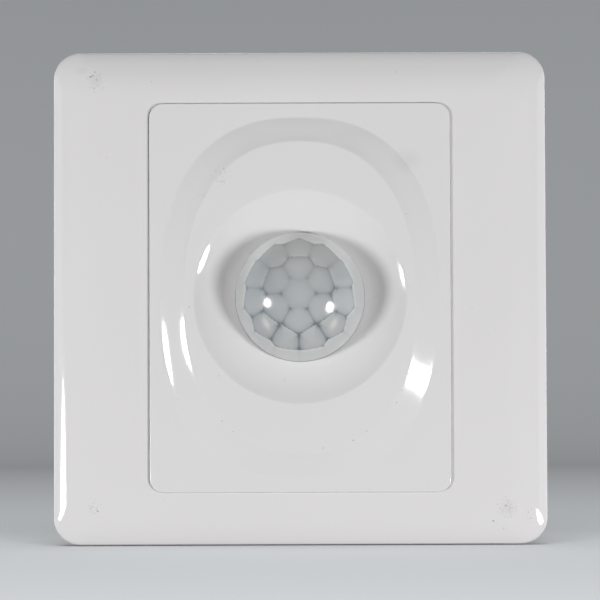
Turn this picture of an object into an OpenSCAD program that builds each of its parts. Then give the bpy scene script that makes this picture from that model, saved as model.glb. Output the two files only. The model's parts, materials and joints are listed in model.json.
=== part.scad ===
// Wall-mounted motion sensor light switch on a square 86 mm plate.
// Every module below is drawn face up: X to the right, Y up the wall, Z out of the wall, wall face at Z = 0.
// on_wall() then stands it up, so the finished part faces -Y with +Z up the wall.

/* [Face frame] */
// Width and height of the square face frame
frame_w = 86; // [82:0.5:92]
// Height of the front face above the wall
frame_t = 8; // [7.6:0.1:9]
// Radius of the frame's four corners
frame_corner_r = 4.6; // [3:0.1:6]
// Half width of the ellipse that crowns the edge
frame_crown_run = 9.5; // [8.5:0.1:10.5]
// Half height of the ellipse that crowns the edge
frame_crown_drop = 5.2; // [4.4:0.1:6]
// Draft of the straight side over its height
frame_draft = 0.2; // [0.1:0.05:0.4]
// Wall thickness of the frame
frame_wall = 1.8; // [1.5:0.1:2]
// Width of the frame to the left and right of the panel
frame_side_band = 16.9; // [15.5:0.1:18]
// Width of the frame above and below the panel
frame_end_band = 9.25; // [9:0.05:11]
// Seam between the frame's window and the panel
frame_seam = 0.25; // [0.15:0.05:0.4]
// Thickness of the wall that lines the window
window_wall = 1.4; // [1:0.1:1.6]

/* [Frame clips] */
// Distance of each clip from the middle of its side
clip_x = 24; // [16:1:28]
// Width of a clip arm
clip_w = 6; // [4:0.5:8]
// Thickness of a clip arm and of the rib that it hooks on
clip_t = 1.2; // [0.9:0.1:1.4]
// Gap between a clip arm and its rib
clip_gap = 0.45; // [0.3:0.05:0.5]
// Height of the nib and of the groove that it faces
clip_nib_h = 0.8; // [0.5:0.1:1]
// Height of the ribs above the mounting plate
clip_rib_h = 2.6; // [2.2:0.1:3]

/* [Sensor panel] */
// Radius of the panel's corners
panel_corner_r = 2.4; // [1.5:0.1:4]
// Height of the panel's face above the frame's face
panel_proud = 0.4; // [0.2:0.05:0.8]
// Wall thickness of the panel
panel_wall = 1.8; // [1.5:0.1:2]
// Rounding of the panel's front edge
panel_edge_r = 0.4; // [0.2:0.1:0.8]
// Flat margin between the raised oval and the panel's sides
oval_side_margin = 1.9; // [1.2:0.1:3]
// Flat margin between the raised oval and the panel's ends
oval_end_margin = 2.6; // [1.6:0.1:5]
// Fullness of the oval at the foot of its band: 2 is an ellipse, more is squarer
oval_fullness = 2.46; // [2.3:0.02:2.7]
// Fullness of the oval at the top of its band
oval_top_fullness = 2.3; // [2.1:0.02:2.6]
// Width of the sloping band around the oval
bevel_run = 4.2; // [3.5:0.1:4.6]
// Rise of the oval above the panel's face
bevel_rise = 1.9; // [1.6:0.1:3]
// Softening of the band's two edges
bevel_soft = 0.7; // [0.4:0.1:0.8]
// Flat land between the band and the dish
dish_land = 1.6; // [1:0.1:2.5]
// Depth of the dish below the oval's top
dish_depth = 1.7; // [1:0.1:1.8]
// Flat floor of the dish around the lens
dish_floor = 0.7; // [0.5:0.1:1.5]
// Outside radius of the panel's screw bosses
boss_r = 2.8; // [2.4:0.1:3.2]

/* [Lens] */
// Radius of the lens dome
lens_r = 12.2; // [11.8:0.1:12.6]
// Radius of the straight skirt below the dome
lens_skirt_r = 11.4; // [11:0.1:11.6]
// Height of the dome above the dish floor
lens_rise = 8.3; // [7.9:0.1:8.7]
// Wall thickness of the lens
lens_wall = 0.9; // [0.7:0.1:1.2]
// How far each lenslet bulges into the dome
lenslet_bulge = 0.35; // [0.2:0.05:0.5]
// Radius of the lens flange
lens_flange_r = 14; // [13:0.1:14.4]
// Thickness of the lens flange
lens_flange_t = 1.2; // [0.8:0.1:1.4]
// Gap between the lens and the hole that it stands in
lens_gap = 0.15; // [0.1:0.05:0.25]
// Thickness of the lens retainer under the flange
retainer_t = 1.6; // [1.2:0.1:2]
// Radius of the circle that the retainer's screws stand on
retainer_screw_circle = 16.6; // [16.4:0.1:17]

/* [Mounting plate] */
// Thickness of the mounting plate
plate_t = 2.2; // [2:0.1:2.6]
// Gap between the plate's edge and the inside of the frame
plate_gap = 2; // [1:0.1:3]
// Depth of the recess that seats the rear housing
plate_recess = 0.6; // [0.4:0.1:0.8]
// Distance between the two wall box screws
screw_spacing = 60.3; // [60:0.1:61]
// Width of the screw slots
slot_w = 4.4; // [4.2:0.1:5]
// End to end length of the screw slots
slot_l = 7; // [6:0.1:8]
// Radius kept free for a wall box screw's head
screw_head_room = 4.4; // [4:0.1:4.6]

/* [Rear housing] */
// Wall thickness of the rear housing
box_wall = 1.8; // [1.5:0.1:2]
// Distance between a screw slot and the side of the housing
box_side_clear = 1.7; // [1.2:0.1:3]
// Thickness of the housing's flange
flange_t = 2.4; // [2:0.1:3]
// Distance of a board post's axis from the two walls beside it
post_inset = 3.4; // [3.2:0.1:4]
// Radius of a board post
post_r = 2.2; // [2:0.1:2.5]
// Radius of the shoulder that the power board rests on
post_shoulder_r = 2.9; // [2.7:0.1:3.2]

/* [Screws] */
// Radius of the assembly screws' shanks
asm_screw_r = 1.1; // [0.9:0.1:1.3]
// Radius of the assembly screws' heads
asm_head_r = 2.2; // [2:0.1:2.5]
// Height of the assembly screws' heads
asm_head_h = 1.6; // [1.2:0.1:2]
// Radius of the small screws' shanks
small_screw_r = 0.9; // [0.7:0.1:1]
// Radius of the small screws' heads
small_head_r = 1.7; // [1.5:0.1:1.8]
// Height of the small screws' heads
small_head_h = 1.2; // [0.8:0.1:1.2]
// Depth of the small screws in the plastic
small_screw_bite = 4; // [3:0.5:6]

/* [Circuit boards] */
// Thickness of the circuit boards
board_t = 1.6; // [1:0.1:2]
// Gap between a board's edge and the housing
board_gap = 0.3; // [0.2:0.05:0.5]
// Length of the lead ends behind a board
lead_stub = 0.8; // [0.5:0.1:1]
// Radius of the component leads
lead_r = 0.35; // [0.25:0.05:0.4]
// Clearance of a lead in its hole
lead_gap = 0.1; // [0.05:0.05:0.15]
// Gap between the relay and the board in front of it
relay_head_gap = 1.1; // [1:0.1:2]

/* [Motion and light sensors] */
// Radius of the motion sensor's can
pir_can_r = 4.1; // [3.8:0.1:4.4]
// Height of the can above its base
pir_can_h = 4.1; // [3.6:0.1:4.5]
// Radius of the sensor's base
pir_base_r = 4.6; // [4.5:0.1:5]
// Thickness of the sensor's base
pir_base_t = 0.5; // [0.4:0.1:0.8]
// Thickness of the spacer under the sensor
pir_spacer_t = 0.6; // [0.4:0.1:1]
// Side of the square filter window
pir_window_w = 4; // [3:0.1:4.6]
// Radius of the circle that the sensor's leads stand on
pir_lead_circle = 2.54; // [2.2:0.01:2.8]
// Distance of the light sensor from the lens axis
ldr_offset = 7.6; // [7.4:0.1:8]
// Radius of the light sensor's disc
ldr_r = 2.3; // [2:0.1:2.5]
// Thickness of the light sensor's disc
ldr_t = 2; // [1.5:0.1:2.5]

/* [Relay] */
// Size of the relay along X
relay_w = 19; // [18.5:0.1:20]
// Size of the relay along Y
relay_l = 15.5; // [14:0.1:16]
// Height of the relay above its board
relay_h = 15.3; // [15:0.1:17]
// Wall thickness of the relay cover
relay_wall = 0.8; // [0.6:0.1:0.9]
// Radius of the coil winding
coil_r = 5; // [4.5:0.1:5.2]
// Air gap between the released armature and the core
relay_air_gap = 0.85; // [0.8:0.05:0.95]

/* [Terminals] */
// Distance between the terminals
terminal_pitch = 8; // [7.6:0.1:9]
// Depth of the terminal block along the wire
terminal_l = 10.5; // [10:0.1:12]
// Height of the terminal block above its board
terminal_h = 11; // [10.8:0.1:12]
// Radius of the wire entry holes
wire_r = 1.5; // [1.2:0.05:1.55]
// Radius of the terminal screws' threads
terminal_screw_r = 1.5; // [1.3:0.1:1.6]
// Radius of the terminal screws' heads
terminal_head_r = 2.3; // [2:0.1:2.4]
// Travel of a wire clamp
clamp_travel = 2; // [1.5:0.1:2.2]

/* [Trimmers] */
// Side of a trimmer's square body
trimmer_w = 6.6; // [6:0.1:7]
// Height of a trimmer's body
trimmer_h = 5; // [4:0.1:6]
// Radius of a trimmer's stub shaft
trimmer_shaft_r = 1.9; // [1.6:0.1:2.2]
// Distance of each trimmer from the middle
trimmer_x = 11; // [8:0.5:12]
// Height of the trimmers above the middle
trimmer_y = 17; // [16.5:0.5:18]

/* [Hidden] */

$fn = 64;
arc_steps = 8;       // straight steps in each corner of an outline
crown_steps = 9;     // steps across the frame's crowned edge
oval_turn = 5;       // degrees between the points of the oval
over = 1;            // how far a cut runs past the face that it opens
weld = 0.2;          // how deep joined shapes reach into each other

// Panel and window, from the frame
panel_w = frame_w - 2 * frame_side_band;
panel_h = frame_w - 2 * frame_end_band;
window_w = panel_w + 2 * frame_seam;
window_h = panel_h + 2 * frame_seam;
oval_w = panel_w - 2 * oval_side_margin;
oval_h = panel_h - 2 * oval_end_margin;
dish_r = oval_w / 2 - bevel_run - dish_land;
dish_floor_r = lens_skirt_r + dish_floor;
dish_arc_r = (pow(dish_r - dish_floor_r, 2) + pow(dish_depth, 2)) / (2 * dish_depth);

// Crown of the frame: part of an ellipse, level with the face at 0 and met by the side at crown_end degrees
crown_end = 54;
crown_thinning = 0.4;    // how much thinner than the wall the crown may get over the deep cavity
function crown_inset(a) = frame_draft + frame_crown_run * (sin(crown_end) - sin(a));
function crown_z(a) = frame_t - frame_crown_drop * (1 - cos(a));
deep_inset = crown_inset(acos(1 - crown_thinning / frame_crown_drop));
rim_inset = frame_draft + frame_wall;
rim_step = 0.3;          // from the top of the straight side down to the ceiling over the rim

// Heights above the wall
panel_z = frame_t + panel_proud;
land_z = panel_z + bevel_rise;
dish_z = land_z - dish_depth;
lens_top_z = dish_z + lens_rise;
lens_centre_z = lens_top_z - lens_r;
lens_flange_z = dish_z - panel_wall;
retainer_z = lens_flange_z - lens_flange_t - retainer_t;
frame_ceiling_z = frame_t - frame_wall;
rim_ceiling_z = crown_z(crown_end) - rim_step;
sensor_z = lens_centre_z - pir_can_h - pir_base_t - pir_spacer_t;
sensor_rear_z = sensor_z - board_t;
power_z = sensor_rear_z - relay_head_gap - relay_h;
power_rear_z = power_z - board_t;
back_z = power_rear_z - terminal_h;

// Plan sizes of the hidden parts
plate_w = frame_w - 2 * (rim_inset + plate_gap);
plate_corner_r = 4;
box_w = screw_spacing - slot_l - 2 * box_side_clear;
asm_inset = 5;           // of the assembly screws from the housing's sides
asm_head_clear = 0.55;   // between an assembly screw's head and the housing's end wall
asm_x = box_w / 2 - asm_inset;
asm_y = panel_h / 2 - panel_wall / 2 - boss_r;
box_h = 2 * (asm_y - asm_head_r - asm_head_clear);
flange_h = 2 * (asm_y + asm_head_r);
box_corner_r = 2.5;
box_in_corner_r = 1.5;
board_corner_r = 1;
box_in_w = box_w - 2 * box_wall;
box_in_h = box_h - 2 * box_wall;
board_w = box_in_w - 2 * board_gap;
board_h = box_in_h - 2 * board_gap;
post_x = box_in_w / 2 - post_inset;
post_y = box_in_h / 2 - post_inset;
screw_end_gap = 0.6;     // between a screw's end and the underside of the face
screw_gap = 0.05;        // clearance of a screw's shank in the plastic it bites
pass_gap = 0.2;          // clearance of a screw or post in a hole that it passes through
asm_screw_end_z = panel_z - panel_wall - screw_end_gap;
retainer_screw_angles = [90, 210, 330];
retainer_rim = 2;        // of the retainer outside its screws' circle
retainer_gap = 0.3;      // around the lens flange, and around the retainer
retainer_r = retainer_screw_circle + retainer_rim;
rib_y = window_h / 2 + window_wall + clip_gap;
arm_y = rib_y + clip_t + clip_gap;
clip_slip = 0.1;         // by which a nib clears its rib
clip_nib = clip_gap - clip_slip;
nib_lift = 0.9;          // of a nib above the mounting plate
nib_z = plate_t + nib_lift;
rib_margin = 1;          // of a rib on each side of its arm
rib_w = clip_w + 2 * rib_margin;
groove_margin = 0.3;     // of a groove on each side of its nib
groove_w = clip_w + 2 * groove_margin;

// Lens
lens_hole_r = lens_skirt_r + lens_gap;
lens_in_r = lens_r - lens_wall;
lens_skirt_in_r = lens_skirt_r - lens_wall;
lenslet_rings = [[0, 1], [23, 6], [41, 11]];    // angle from the axis, count
lenslet_top = 90;                                // direction of each ring's first lenslet
lenslets = [for (ring = lenslet_rings) for (i = [0 : ring[1] - 1])
    let (a = lenslet_top + 360 * i / ring[1])
    [sin(ring[0]) * cos(a), sin(ring[0]) * sin(a), cos(ring[0])]];
lens_cavity_tilt = 76;   // angle from the axis at which the ball ends
lens_cavity_step = 4;
lens_cavity_turn = 6;
lenslet_reach = 11.5;    // angle from a lenslet's middle at which its bulge has died away

// Motion and light sensors
pir_window_t = 0.3;
pir_can_skin = 0.3;
pir_spacer_inset = 0.2;  // of the spacer's edge from the base's edge
pir_lead_angles = [90, 210, 330];
ldr_stand = 0.8;         // height of the light sensor above its board
ldr_lead_x = 1.3;

// Control chip, under the sensor board
chip_at = [11, -14];
chip_size = [10, 4, 1.5];
chip_legs = 8;
chip_leg_pitch = 1.27;
chip_leg_out = 1;
chip_leg_size = [0.45, 0.2];
surface_size = [2, 1.25, 0.6];
surface_at = [[-14, -10], [-14, -14], [-10, -16], [-6, -16], [3, -18], [14, 12], [14, 16], [-12, 17]];

// Link between the boards
link_pins = 6;
link_pitch = 2.54;
link_inset = 4.4;        // of the link from the posts' middles
link_y = post_y - link_inset;
link_body_t = 2.5;
link_pin_w = 0.64;

// Terminals, measured up the wall from the block's lower face and out from its back face
terminal_xs = [-terminal_pitch, 0, terminal_pitch];
terminal_end = 0.5;      // of the block past its outer terminals
terminal_w = 3 * terminal_pitch + 2 * terminal_end;
terminal_y = -box_h / 2;
terminal_gap = 0.2;      // between the block and the housing around it
terminal_axis_y = 4.8;   // of the screws
chamber_w = 5.6;
chamber_y = [2, 9];
bar_t = 0.8;
bar_w = 3.6;
bar_gap = 0.1;
bar_y = [2.2, 8.8];
bar_leg_l = 0.8;
wire_slack = 0.05;       // above and below a wire in its clamp
clamp_wall = 0.8;
clamp_w = 5.2;
clamp_l = 4.4;
clamp_in_w = 4;
clamp_in_h = bar_t + bar_gap + 2 * (wire_r + wire_slack);
clamp_h = clamp_in_h + 2 * clamp_wall;
clamp_top_gap = 0.45;    // between an open clamp and the board
clamp_open_z = terminal_h - clamp_top_gap - clamp_h;
bar_z = clamp_open_z + clamp_wall + bar_gap;
wire_z = bar_z + bar_t + wire_slack + wire_r;
chamber_gap = 0.15;      // under a closed clamp
chamber_z = clamp_open_z - clamp_travel - chamber_gap;
head_web = 0.6;          // of the block between a screw's head and its chamber
head_z = chamber_z - head_web;
terminal_head_h = 1.7;
head_slot = [0.7, 0.8];

// Sizes of the components on the power board
film_size = [13, 6, 11];
film_lead_inset = 1.5;
main_cap_r = 4;
main_cap_h = 11;
main_cap_lead = 1.75;    // of a lead from the can's middle
small_cap_r = 2.5;
small_cap_h = 7;
small_cap_lead = 1;
can_groove = 0.3;        // rolled into the cans near their feet
varistor_r = 3.5;
varistor_t = 3.2;
varistor_lead = 2.5;
fuse_r = 1.7;
fuse_l = 10;
diode_r = 1.35;
diode_l = 5.2;
resistor_r = 1.1;
resistor_l = 6;
transistor_r = 2.4;
transistor_h = 5;
transistor_pitch = 1.27;
axial_lead_run = 1.2;    // from an axial part's end to its lead
trimmer_lead = 2.5;      // of a trimmer's leads from its middle, each way

// Places on the power board: columns, each spread between the terminal block and what stands above it
function before(sizes, i) = i == 0 ? 0 : sizes[i - 1] + before(sizes, i - 1);
function spread(sizes, from, to) =
    let (n = len(sizes), gap = (to - from - before(sizes, n)) / (n + 1))
    [for (i = [0 : n - 1]) from + (i + 1) * gap + before(sizes, i) + sizes[i] / 2];
parts_from = terminal_y + terminal_l;
parts_to = min(link_y - link_pitch / 2, trimmer_y - trimmer_lead - lead_r);
left_ys = spread([2 * resistor_r, 2 * resistor_r, 2 * fuse_r, relay_l], parts_from, parts_to);
right_ys = spread([2 * transistor_r, varistor_t, 2 * small_cap_r, film_size[1]], parts_from, parts_to);
middle_ys = spread([diode_l, 2 * main_cap_r], parts_from, right_ys[3] - film_size[1] / 2);
resistor_x = -12;
resistor_ys = [left_ys[0], left_ys[1]];
fuse_at = [-12, left_ys[2]];
relay_at = [-8.5, left_ys[3]];
transistor_at = [16, right_ys[0]];
varistor_at = [16.8, right_ys[1]];
small_cap_at = [17, right_ys[2]];
film_at = [13, right_ys[3]];
diode_xs = [-2.4, 1.2, 4.8, 8.4];
diode_y = middle_ys[0];
main_cap_at = [8, middle_ys[1]];

// Places where leads pass through the power board
power_leads = concat(
    [for (s = [-1, 1]) film_at + [s * (film_size[0] / 2 - film_lead_inset), 0]],
    [for (s = [-1, 1]) main_cap_at + [s * main_cap_lead, 0]],
    [for (s = [-1, 1]) small_cap_at + [s * small_cap_lead, 0]],
    [for (s = [-1, 1]) varistor_at + [s * varistor_lead, 0]],
    [for (s = [-1, 1]) fuse_at + [s * (fuse_l / 2 - axial_lead_run), 0]],
    [for (x = diode_xs) for (s = [-1, 1]) [x, diode_y + s * (diode_l / 2 - axial_lead_run)]],
    [for (y = resistor_ys) for (s = [-1, 1]) [resistor_x + s * (resistor_l / 2 - axial_lead_run), y]],
    [for (i = [-1 : 1]) transistor_at + [i * transistor_pitch, 0]]
);
trimmer_leads = [for (x = [-trimmer_x, trimmer_x]) for (p = [[-1, -1], [1, -1], [0, 1]])
    [x, trimmer_y] + trimmer_lead * p];

// Relay, measured from its middle and up from its board
relay_base_t = 1.6;
relay_fit = 0.1;
relay_in_w = relay_w - 2 * relay_wall - 2 * relay_fit;
relay_in_l = relay_l - 2 * relay_wall - 2 * relay_fit;
yoke_t = 1.2;
yoke_l = 8;
coil_x = -1.2;
bobbin_t = 0.6;
bobbin_tube_t = 0.5;
bobbin_lip = 0.4;        // of the bobbin past its winding
bobbin_r = coil_r + bobbin_lip;
core_r = 1.9;
pole_r = 3.2;
pole_t = 0.6;
coil_h = 5.6;
bobbin_z = relay_base_t + yoke_t;
pole_z = bobbin_z + 2 * bobbin_t + coil_h;
armature_z = pole_z + pole_t + relay_air_gap;
armature_t = 1;
yoke_coil_gap = 0.3;
yoke_in_x = coil_x - bobbin_r - yoke_coil_gap;
yoke_out_x = yoke_in_x - yoke_t;
yoke_gap = 0.05;         // between the armature and the edge that it rocks on
armature_lap = 1.2;      // of the armature past the pole
armature_end_x = coil_x + pole_r + armature_lap;
leaf_root = 3;           // length of the leaf that lies on the armature
leaf_t = 0.3;
leaf_w = 3;
contact_r = 1;
contact_t = 0.5;
contact_gap = 0.05;      // between contacts that close on each other
blade_t = 0.5;
blade_x = relay_in_w / 2 - blade_t;
blade_near_y = 1.7;
blade_far_y = 4.2;
contact_inset = 1.2;     // of a contact's middle from its blade
contact_x = blade_x - contact_inset;
armature_swing = 5;      // degrees from released to pulled in
contact_drop = (contact_x + contact_r - yoke_in_x) * sin(armature_swing);
leaf_z = armature_z + armature_t;
pin_inset = 0.6;         // of a contact's pin from its blade
contact_pin_y = 3.5;
coil_pin = [-7, 5];
common_pin = [0, -6];
relay_pin_at = [
    [coil_pin[0], -coil_pin[1]], coil_pin,
    [blade_x - pin_inset, -contact_pin_y], [blade_x - pin_inset, contact_pin_y], common_pin
];

// Trimmers, measured out from the power board's rear face
rotor_hub_r = 1.2;
rotor_hub_l = 3;
rotor_disc_r = 2.7;
rotor_disc_t = 1.2;
rotor_gap = 0.06;
rotor_recess = 0.4;      // of the stub shaft's end below the housing's back
rotor_slot = [0.8, 1];
rotor_hole_gap = 0.3;

// Outlines, as points counter-clockwise

function arc(centre, r, from, to) =
    [for (i = [0 : arc_steps]) let (a = from + (to - from) * i / arc_steps)
        [centre[0] + r * cos(a), centre[1] + r * sin(a)]];

function rounded_rect(w, h, r) = [for (q = [0 : 3])
    let (sx = (q == 0 || q == 3) ? 1 : -1, sy = q < 2 ? 1 : -1)
    each arc([sx * (w / 2 - r), sy * (h / 2 - r)], r, 90 * q, 90 * q + 90)];

// A full oval, inset evenly from the foot of its band and rounder towards the top
function oval(inset) =
    let (power = 2 / (oval_fullness + (oval_top_fullness - oval_fullness) * inset / bevel_run))
    [for (a = [0 : oval_turn : 360 - oval_turn])
        [(oval_w / 2 - inset) * sign(cos(a)) * pow(abs(cos(a)), power),
            (oval_h / 2 - inset) * sign(sin(a)) * pow(abs(sin(a)), power)]];

// Shared shapes

module on_wall() { rotate([90, 0, 0]) children(); }

// A closed skin over a stack of outlines that have the same number of points
module loft(outlines, heights) {
    n = len(outlines[0]);
    m = len(outlines);
    polyhedron(
        points = [for (k = [0 : m - 1]) for (p = outlines[k]) [p[0], p[1], heights[k]]],
        faces = concat(
            [[for (i = [0 : n - 1]) i]],
            [for (k = [0 : m - 2]) for (i = [0 : n - 1]) for (t = [0, 1])
                let (a = k * n + i, b = k * n + (i + 1) % n, c = b + n, d = a + n)
                t == 0 ? [a, d, c] : [a, c, b]],
            [[for (i = [n - 1 : -1 : 0]) (m - 1) * n + i]]));
}

module block(at, size, z) {
    translate([at[0] - size[0] / 2, at[1] - size[1] / 2, z]) cube(size);
}

module rod(at, r, z1, z2) {
    translate([at[0], at[1], z1]) cylinder(r = r, h = z2 - z1);
}

module prism(outline, z1, z2) {
    translate([0, 0, z1]) linear_extrude(height = z2 - z1) polygon(outline);
}

module at_corners(x, y) {
    for (sx = [-1, 1]) for (sy = [-1, 1]) translate([sx * x, sy * y, 0]) children();
}

module around(radius, angles) {
    for (a = angles) translate([radius * cos(a), radius * sin(a), 0]) children();
}

// A screw that points along +Z, with its head's face at head_z and a driver slot in the head
module screw(shank_r, head_r, head_h, head_z, end_z) {
    difference() {
        union() {
            rod([0, 0], head_r, head_z - head_h, head_z);
            rod([0, 0], shank_r, head_z - weld, end_z);
        }
        block([0, 0], [2 * head_r + over, 0.35 * head_r, 0.5 * head_h + over], head_z - head_h - over);
    }
}

// Front pieces

module face_frame() color("white") on_wall() {
    crown = [for (k = [0 : crown_steps]) crown_end * (1 - k / crown_steps)];
    insets = concat([0], [for (a = crown) crown_inset(a)]);
    heights = concat([0], [for (a = crown) crown_z(a)]);
    lining_w = window_w + 2 * window_wall;
    lining_h = window_h + 2 * window_wall;
    difference() {
        union() {
            difference() {
                loft([for (d = insets) frame_outline(d, frame_corner_r)], heights);
                difference() {
                    union() {
                        frame_cavity(rim_inset, rim_ceiling_z);
                        frame_cavity(deep_inset, frame_ceiling_z);
                    }
                    prism(rounded_rect(lining_w, lining_h, panel_corner_r + window_wall), plate_t, frame_t);
                }
            }
            at_corners(clip_x, 0) clip_arm();
        }
        prism(rounded_rect(window_w, window_h, panel_corner_r + frame_seam), -over, frame_t + over);
        for (s = [-1, 1])
            rod([s * screw_spacing / 2, 0], screw_head_room, -over, frame_ceiling_z - weld);
    }
}

function frame_outline(inset, r) = rounded_rect(frame_w - 2 * inset, frame_w - 2 * inset, r);

module frame_cavity(inset, ceiling) {
    prism(frame_outline(inset, frame_corner_r - frame_draft), -over, ceiling);
}

module clip_arm() {
    for (s = [0, 1]) mirror([0, s, 0]) {
        translate([-clip_w / 2, arm_y, nib_z]) cube([clip_w, clip_t, frame_ceiling_z + weld - nib_z]);
        translate([-clip_w / 2, arm_y - clip_nib, nib_z]) cube([clip_w, clip_nib + weld, clip_nib_h]);
    }
}

module sensor_panel() color("white") on_wall() difference() {
    union() {
        difference() {
            panel_skin();
            prism(rounded_rect(panel_w - 2 * panel_wall, panel_h - 2 * panel_wall, panel_corner_r),
                plate_t - over, panel_z - panel_wall);
            difference() {
                prism(oval(bevel_run + panel_wall), panel_z - panel_wall - weld, land_z - panel_wall);
                rod([0, 0], dish_r + panel_wall, lens_flange_z, land_z);
            }
            rod([0, 0], retainer_r + retainer_gap, min(panel_z - panel_wall, lens_flange_z) - weld, lens_flange_z);
        }
        at_corners(asm_x, asm_y) rod([0, 0], boss_r, plate_t, panel_z - weld);
    }
    dish_cut();
    rod([0, 0], lens_hole_r, plate_t, land_z);
    at_corners(asm_x, asm_y)
        rod([0, 0], asm_screw_r + screw_gap, plate_t - over, asm_screw_end_z + screw_gap);
    around(retainer_screw_circle, retainer_screw_angles)
        rod([0, 0], small_screw_r + screw_gap, lens_flange_z - over, dish_z - screw_gap);
}

module panel_skin() {
    edge = [for (a = [0 : 22.5 : 90]) panel_edge_r * [1 - cos(a), sin(a) - 1]];
    loft(
        [for (d = concat([0], [for (e = edge) e[0]]))
            rounded_rect(panel_w - 2 * d, panel_h - 2 * d, panel_corner_r - d)],
        concat([plate_t], [for (e = edge) panel_z + e[1]]));
    soft_z = bevel_soft * bevel_rise / bevel_run;
    foot = [-bevel_soft, -bevel_soft, 0, bevel_soft];
    top = [bevel_run - bevel_soft, bevel_run, bevel_run + bevel_soft];
    loft(
        [for (d = concat(foot, top)) oval(d)],
        [panel_z - panel_wall, panel_z, panel_z + soft_z / 4, panel_z + soft_z,
            land_z - soft_z, land_z - soft_z / 4, land_z]);
}

module dish_cut() rotate_extrude() {
    translate([0, dish_z]) square([dish_floor_r + weld, dish_depth + over]);
    intersection() {
        translate([dish_floor_r, dish_z + dish_arc_r]) circle(r = dish_arc_r);
        translate([dish_floor_r, dish_z - over]) square([dish_r - dish_floor_r, dish_depth + over]);
    }
    translate([dish_floor_r, land_z - weld / 10]) square([dish_r - dish_floor_r, over]);
}

module fresnel_lens() color("lightgray") on_wall() difference() {
    lens_outside();
    rod([0, 0], lens_skirt_in_r, lens_flange_z - lens_flange_t - over, dish_z - lens_wall);
    intersection() {
        lens_cavity();
        rod([0, 0], lens_skirt_in_r, lens_flange_z - lens_flange_t - over, lens_top_z);
    }
}

// The dome, the straight skirt that stands in the panel's hole, and the flange
module lens_outside() rotate_extrude() {
    intersection() {
        translate([0, lens_centre_z]) circle(r = lens_r);
        translate([0, dish_z - weld]) square([lens_skirt_r, lens_rise + over]);
    }
    translate([0, lens_flange_z - weld]) square([lens_skirt_r, dish_z - lens_flange_z + weld]);
    translate([0, lens_flange_z - lens_flange_t]) square([lens_flange_r, lens_flange_t]);
}

// The hollow of the dome: a ball pressed in where each lenslet bulges into it
module lens_cavity() {
    tilts = [for (t = [lens_cavity_tilt : -lens_cavity_step : lens_cavity_step]) t];
    turns = [for (a = [0 : lens_cavity_turn : 359]) a];
    rings = [for (t = tilts) [for (a = turns) lens_cavity_point(t, a)]];
    n = len(turns);
    m = len(tilts);
    translate([0, 0, lens_centre_z]) polyhedron(
        points = concat([for (ring = rings) each ring], [lens_cavity_point(0, 0)]),
        faces = concat(
            [[for (i = [0 : n - 1]) i]],
            [for (k = [0 : m - 2]) for (i = [0 : n - 1]) for (t = [0, 1])
                let (a = k * n + i, b = k * n + (i + 1) % n, c = b + n, d = a + n)
                t == 0 ? [a, d, c] : [a, c, b]],
            [for (i = [0 : n - 1]) [(m - 1) * n + i, m * n, (m - 1) * n + (i + 1) % n]]));
}

function lens_cavity_point(tilt, turn) =
    let (v = [sin(tilt) * cos(turn), sin(tilt) * sin(turn), cos(tilt)],
         near = min([for (c = lenslets) acos(min(1, v * c))]),
         bulge = lenslet_bulge * max(0, 1 - pow(near / lenslet_reach, 2)))
    (lens_in_r - bulge) * v;

module lens_retainer() color("whitesmoke") on_wall() difference() {
    rod([0, 0], retainer_r, retainer_z, lens_flange_z);
    rod([0, 0], lens_flange_r + retainer_gap, retainer_z + retainer_t, lens_flange_z + over);
    rod([0, 0], lens_skirt_in_r, retainer_z - over, lens_flange_z);
    around(retainer_screw_circle, retainer_screw_angles)
        rod([0, 0], small_screw_r + pass_gap, retainer_z - over, lens_flange_z + over);
}

module retainer_screws() color("silver") on_wall() around(retainer_screw_circle, retainer_screw_angles)
    screw(small_screw_r, small_head_r, small_head_h, retainer_z, dish_z - 3 * screw_gap);

// Carrier and housing

module mounting_plate() color("gainsboro") on_wall() difference() {
    union() {
        prism(rounded_rect(plate_w, plate_w, plate_corner_r), 0, plate_t);
        at_corners(clip_x, 0) for (s = [0, 1]) mirror([0, s, 0])
            translate([-rib_w / 2, rib_y, plate_t - weld]) cube([rib_w, clip_t, clip_rib_h + weld]);
    }
    prism(rounded_rect(box_in_w, box_in_h, box_in_corner_r), -over, plate_t + over);
    prism(rounded_rect(box_w + 2 * pass_gap, flange_h + 2 * pass_gap, box_corner_r + pass_gap),
        -over, plate_recess);
    at_corners(asm_x, asm_y) rod([0, 0], asm_screw_r + pass_gap, -over, plate_t + over);
    for (s = [-1, 1]) translate([s * screw_spacing / 2, 0, 0]) screw_slot();
    at_corners(clip_x, 0) for (s = [0, 1]) mirror([0, s, 0])
        translate([-groove_w / 2, rib_y + clip_t - clip_nib, nib_z - clip_slip])
            cube([groove_w, clip_nib + over, clip_nib_h + 2 * clip_slip]);
}

module screw_slot() {
    straight = slot_l - slot_w;
    for (s = [-1, 1]) rod([s * straight / 2, 0], slot_w / 2, -over, plate_t + over);
    block([0, 0], [straight, slot_w, plate_t + 2 * over], -over);
}

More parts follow.
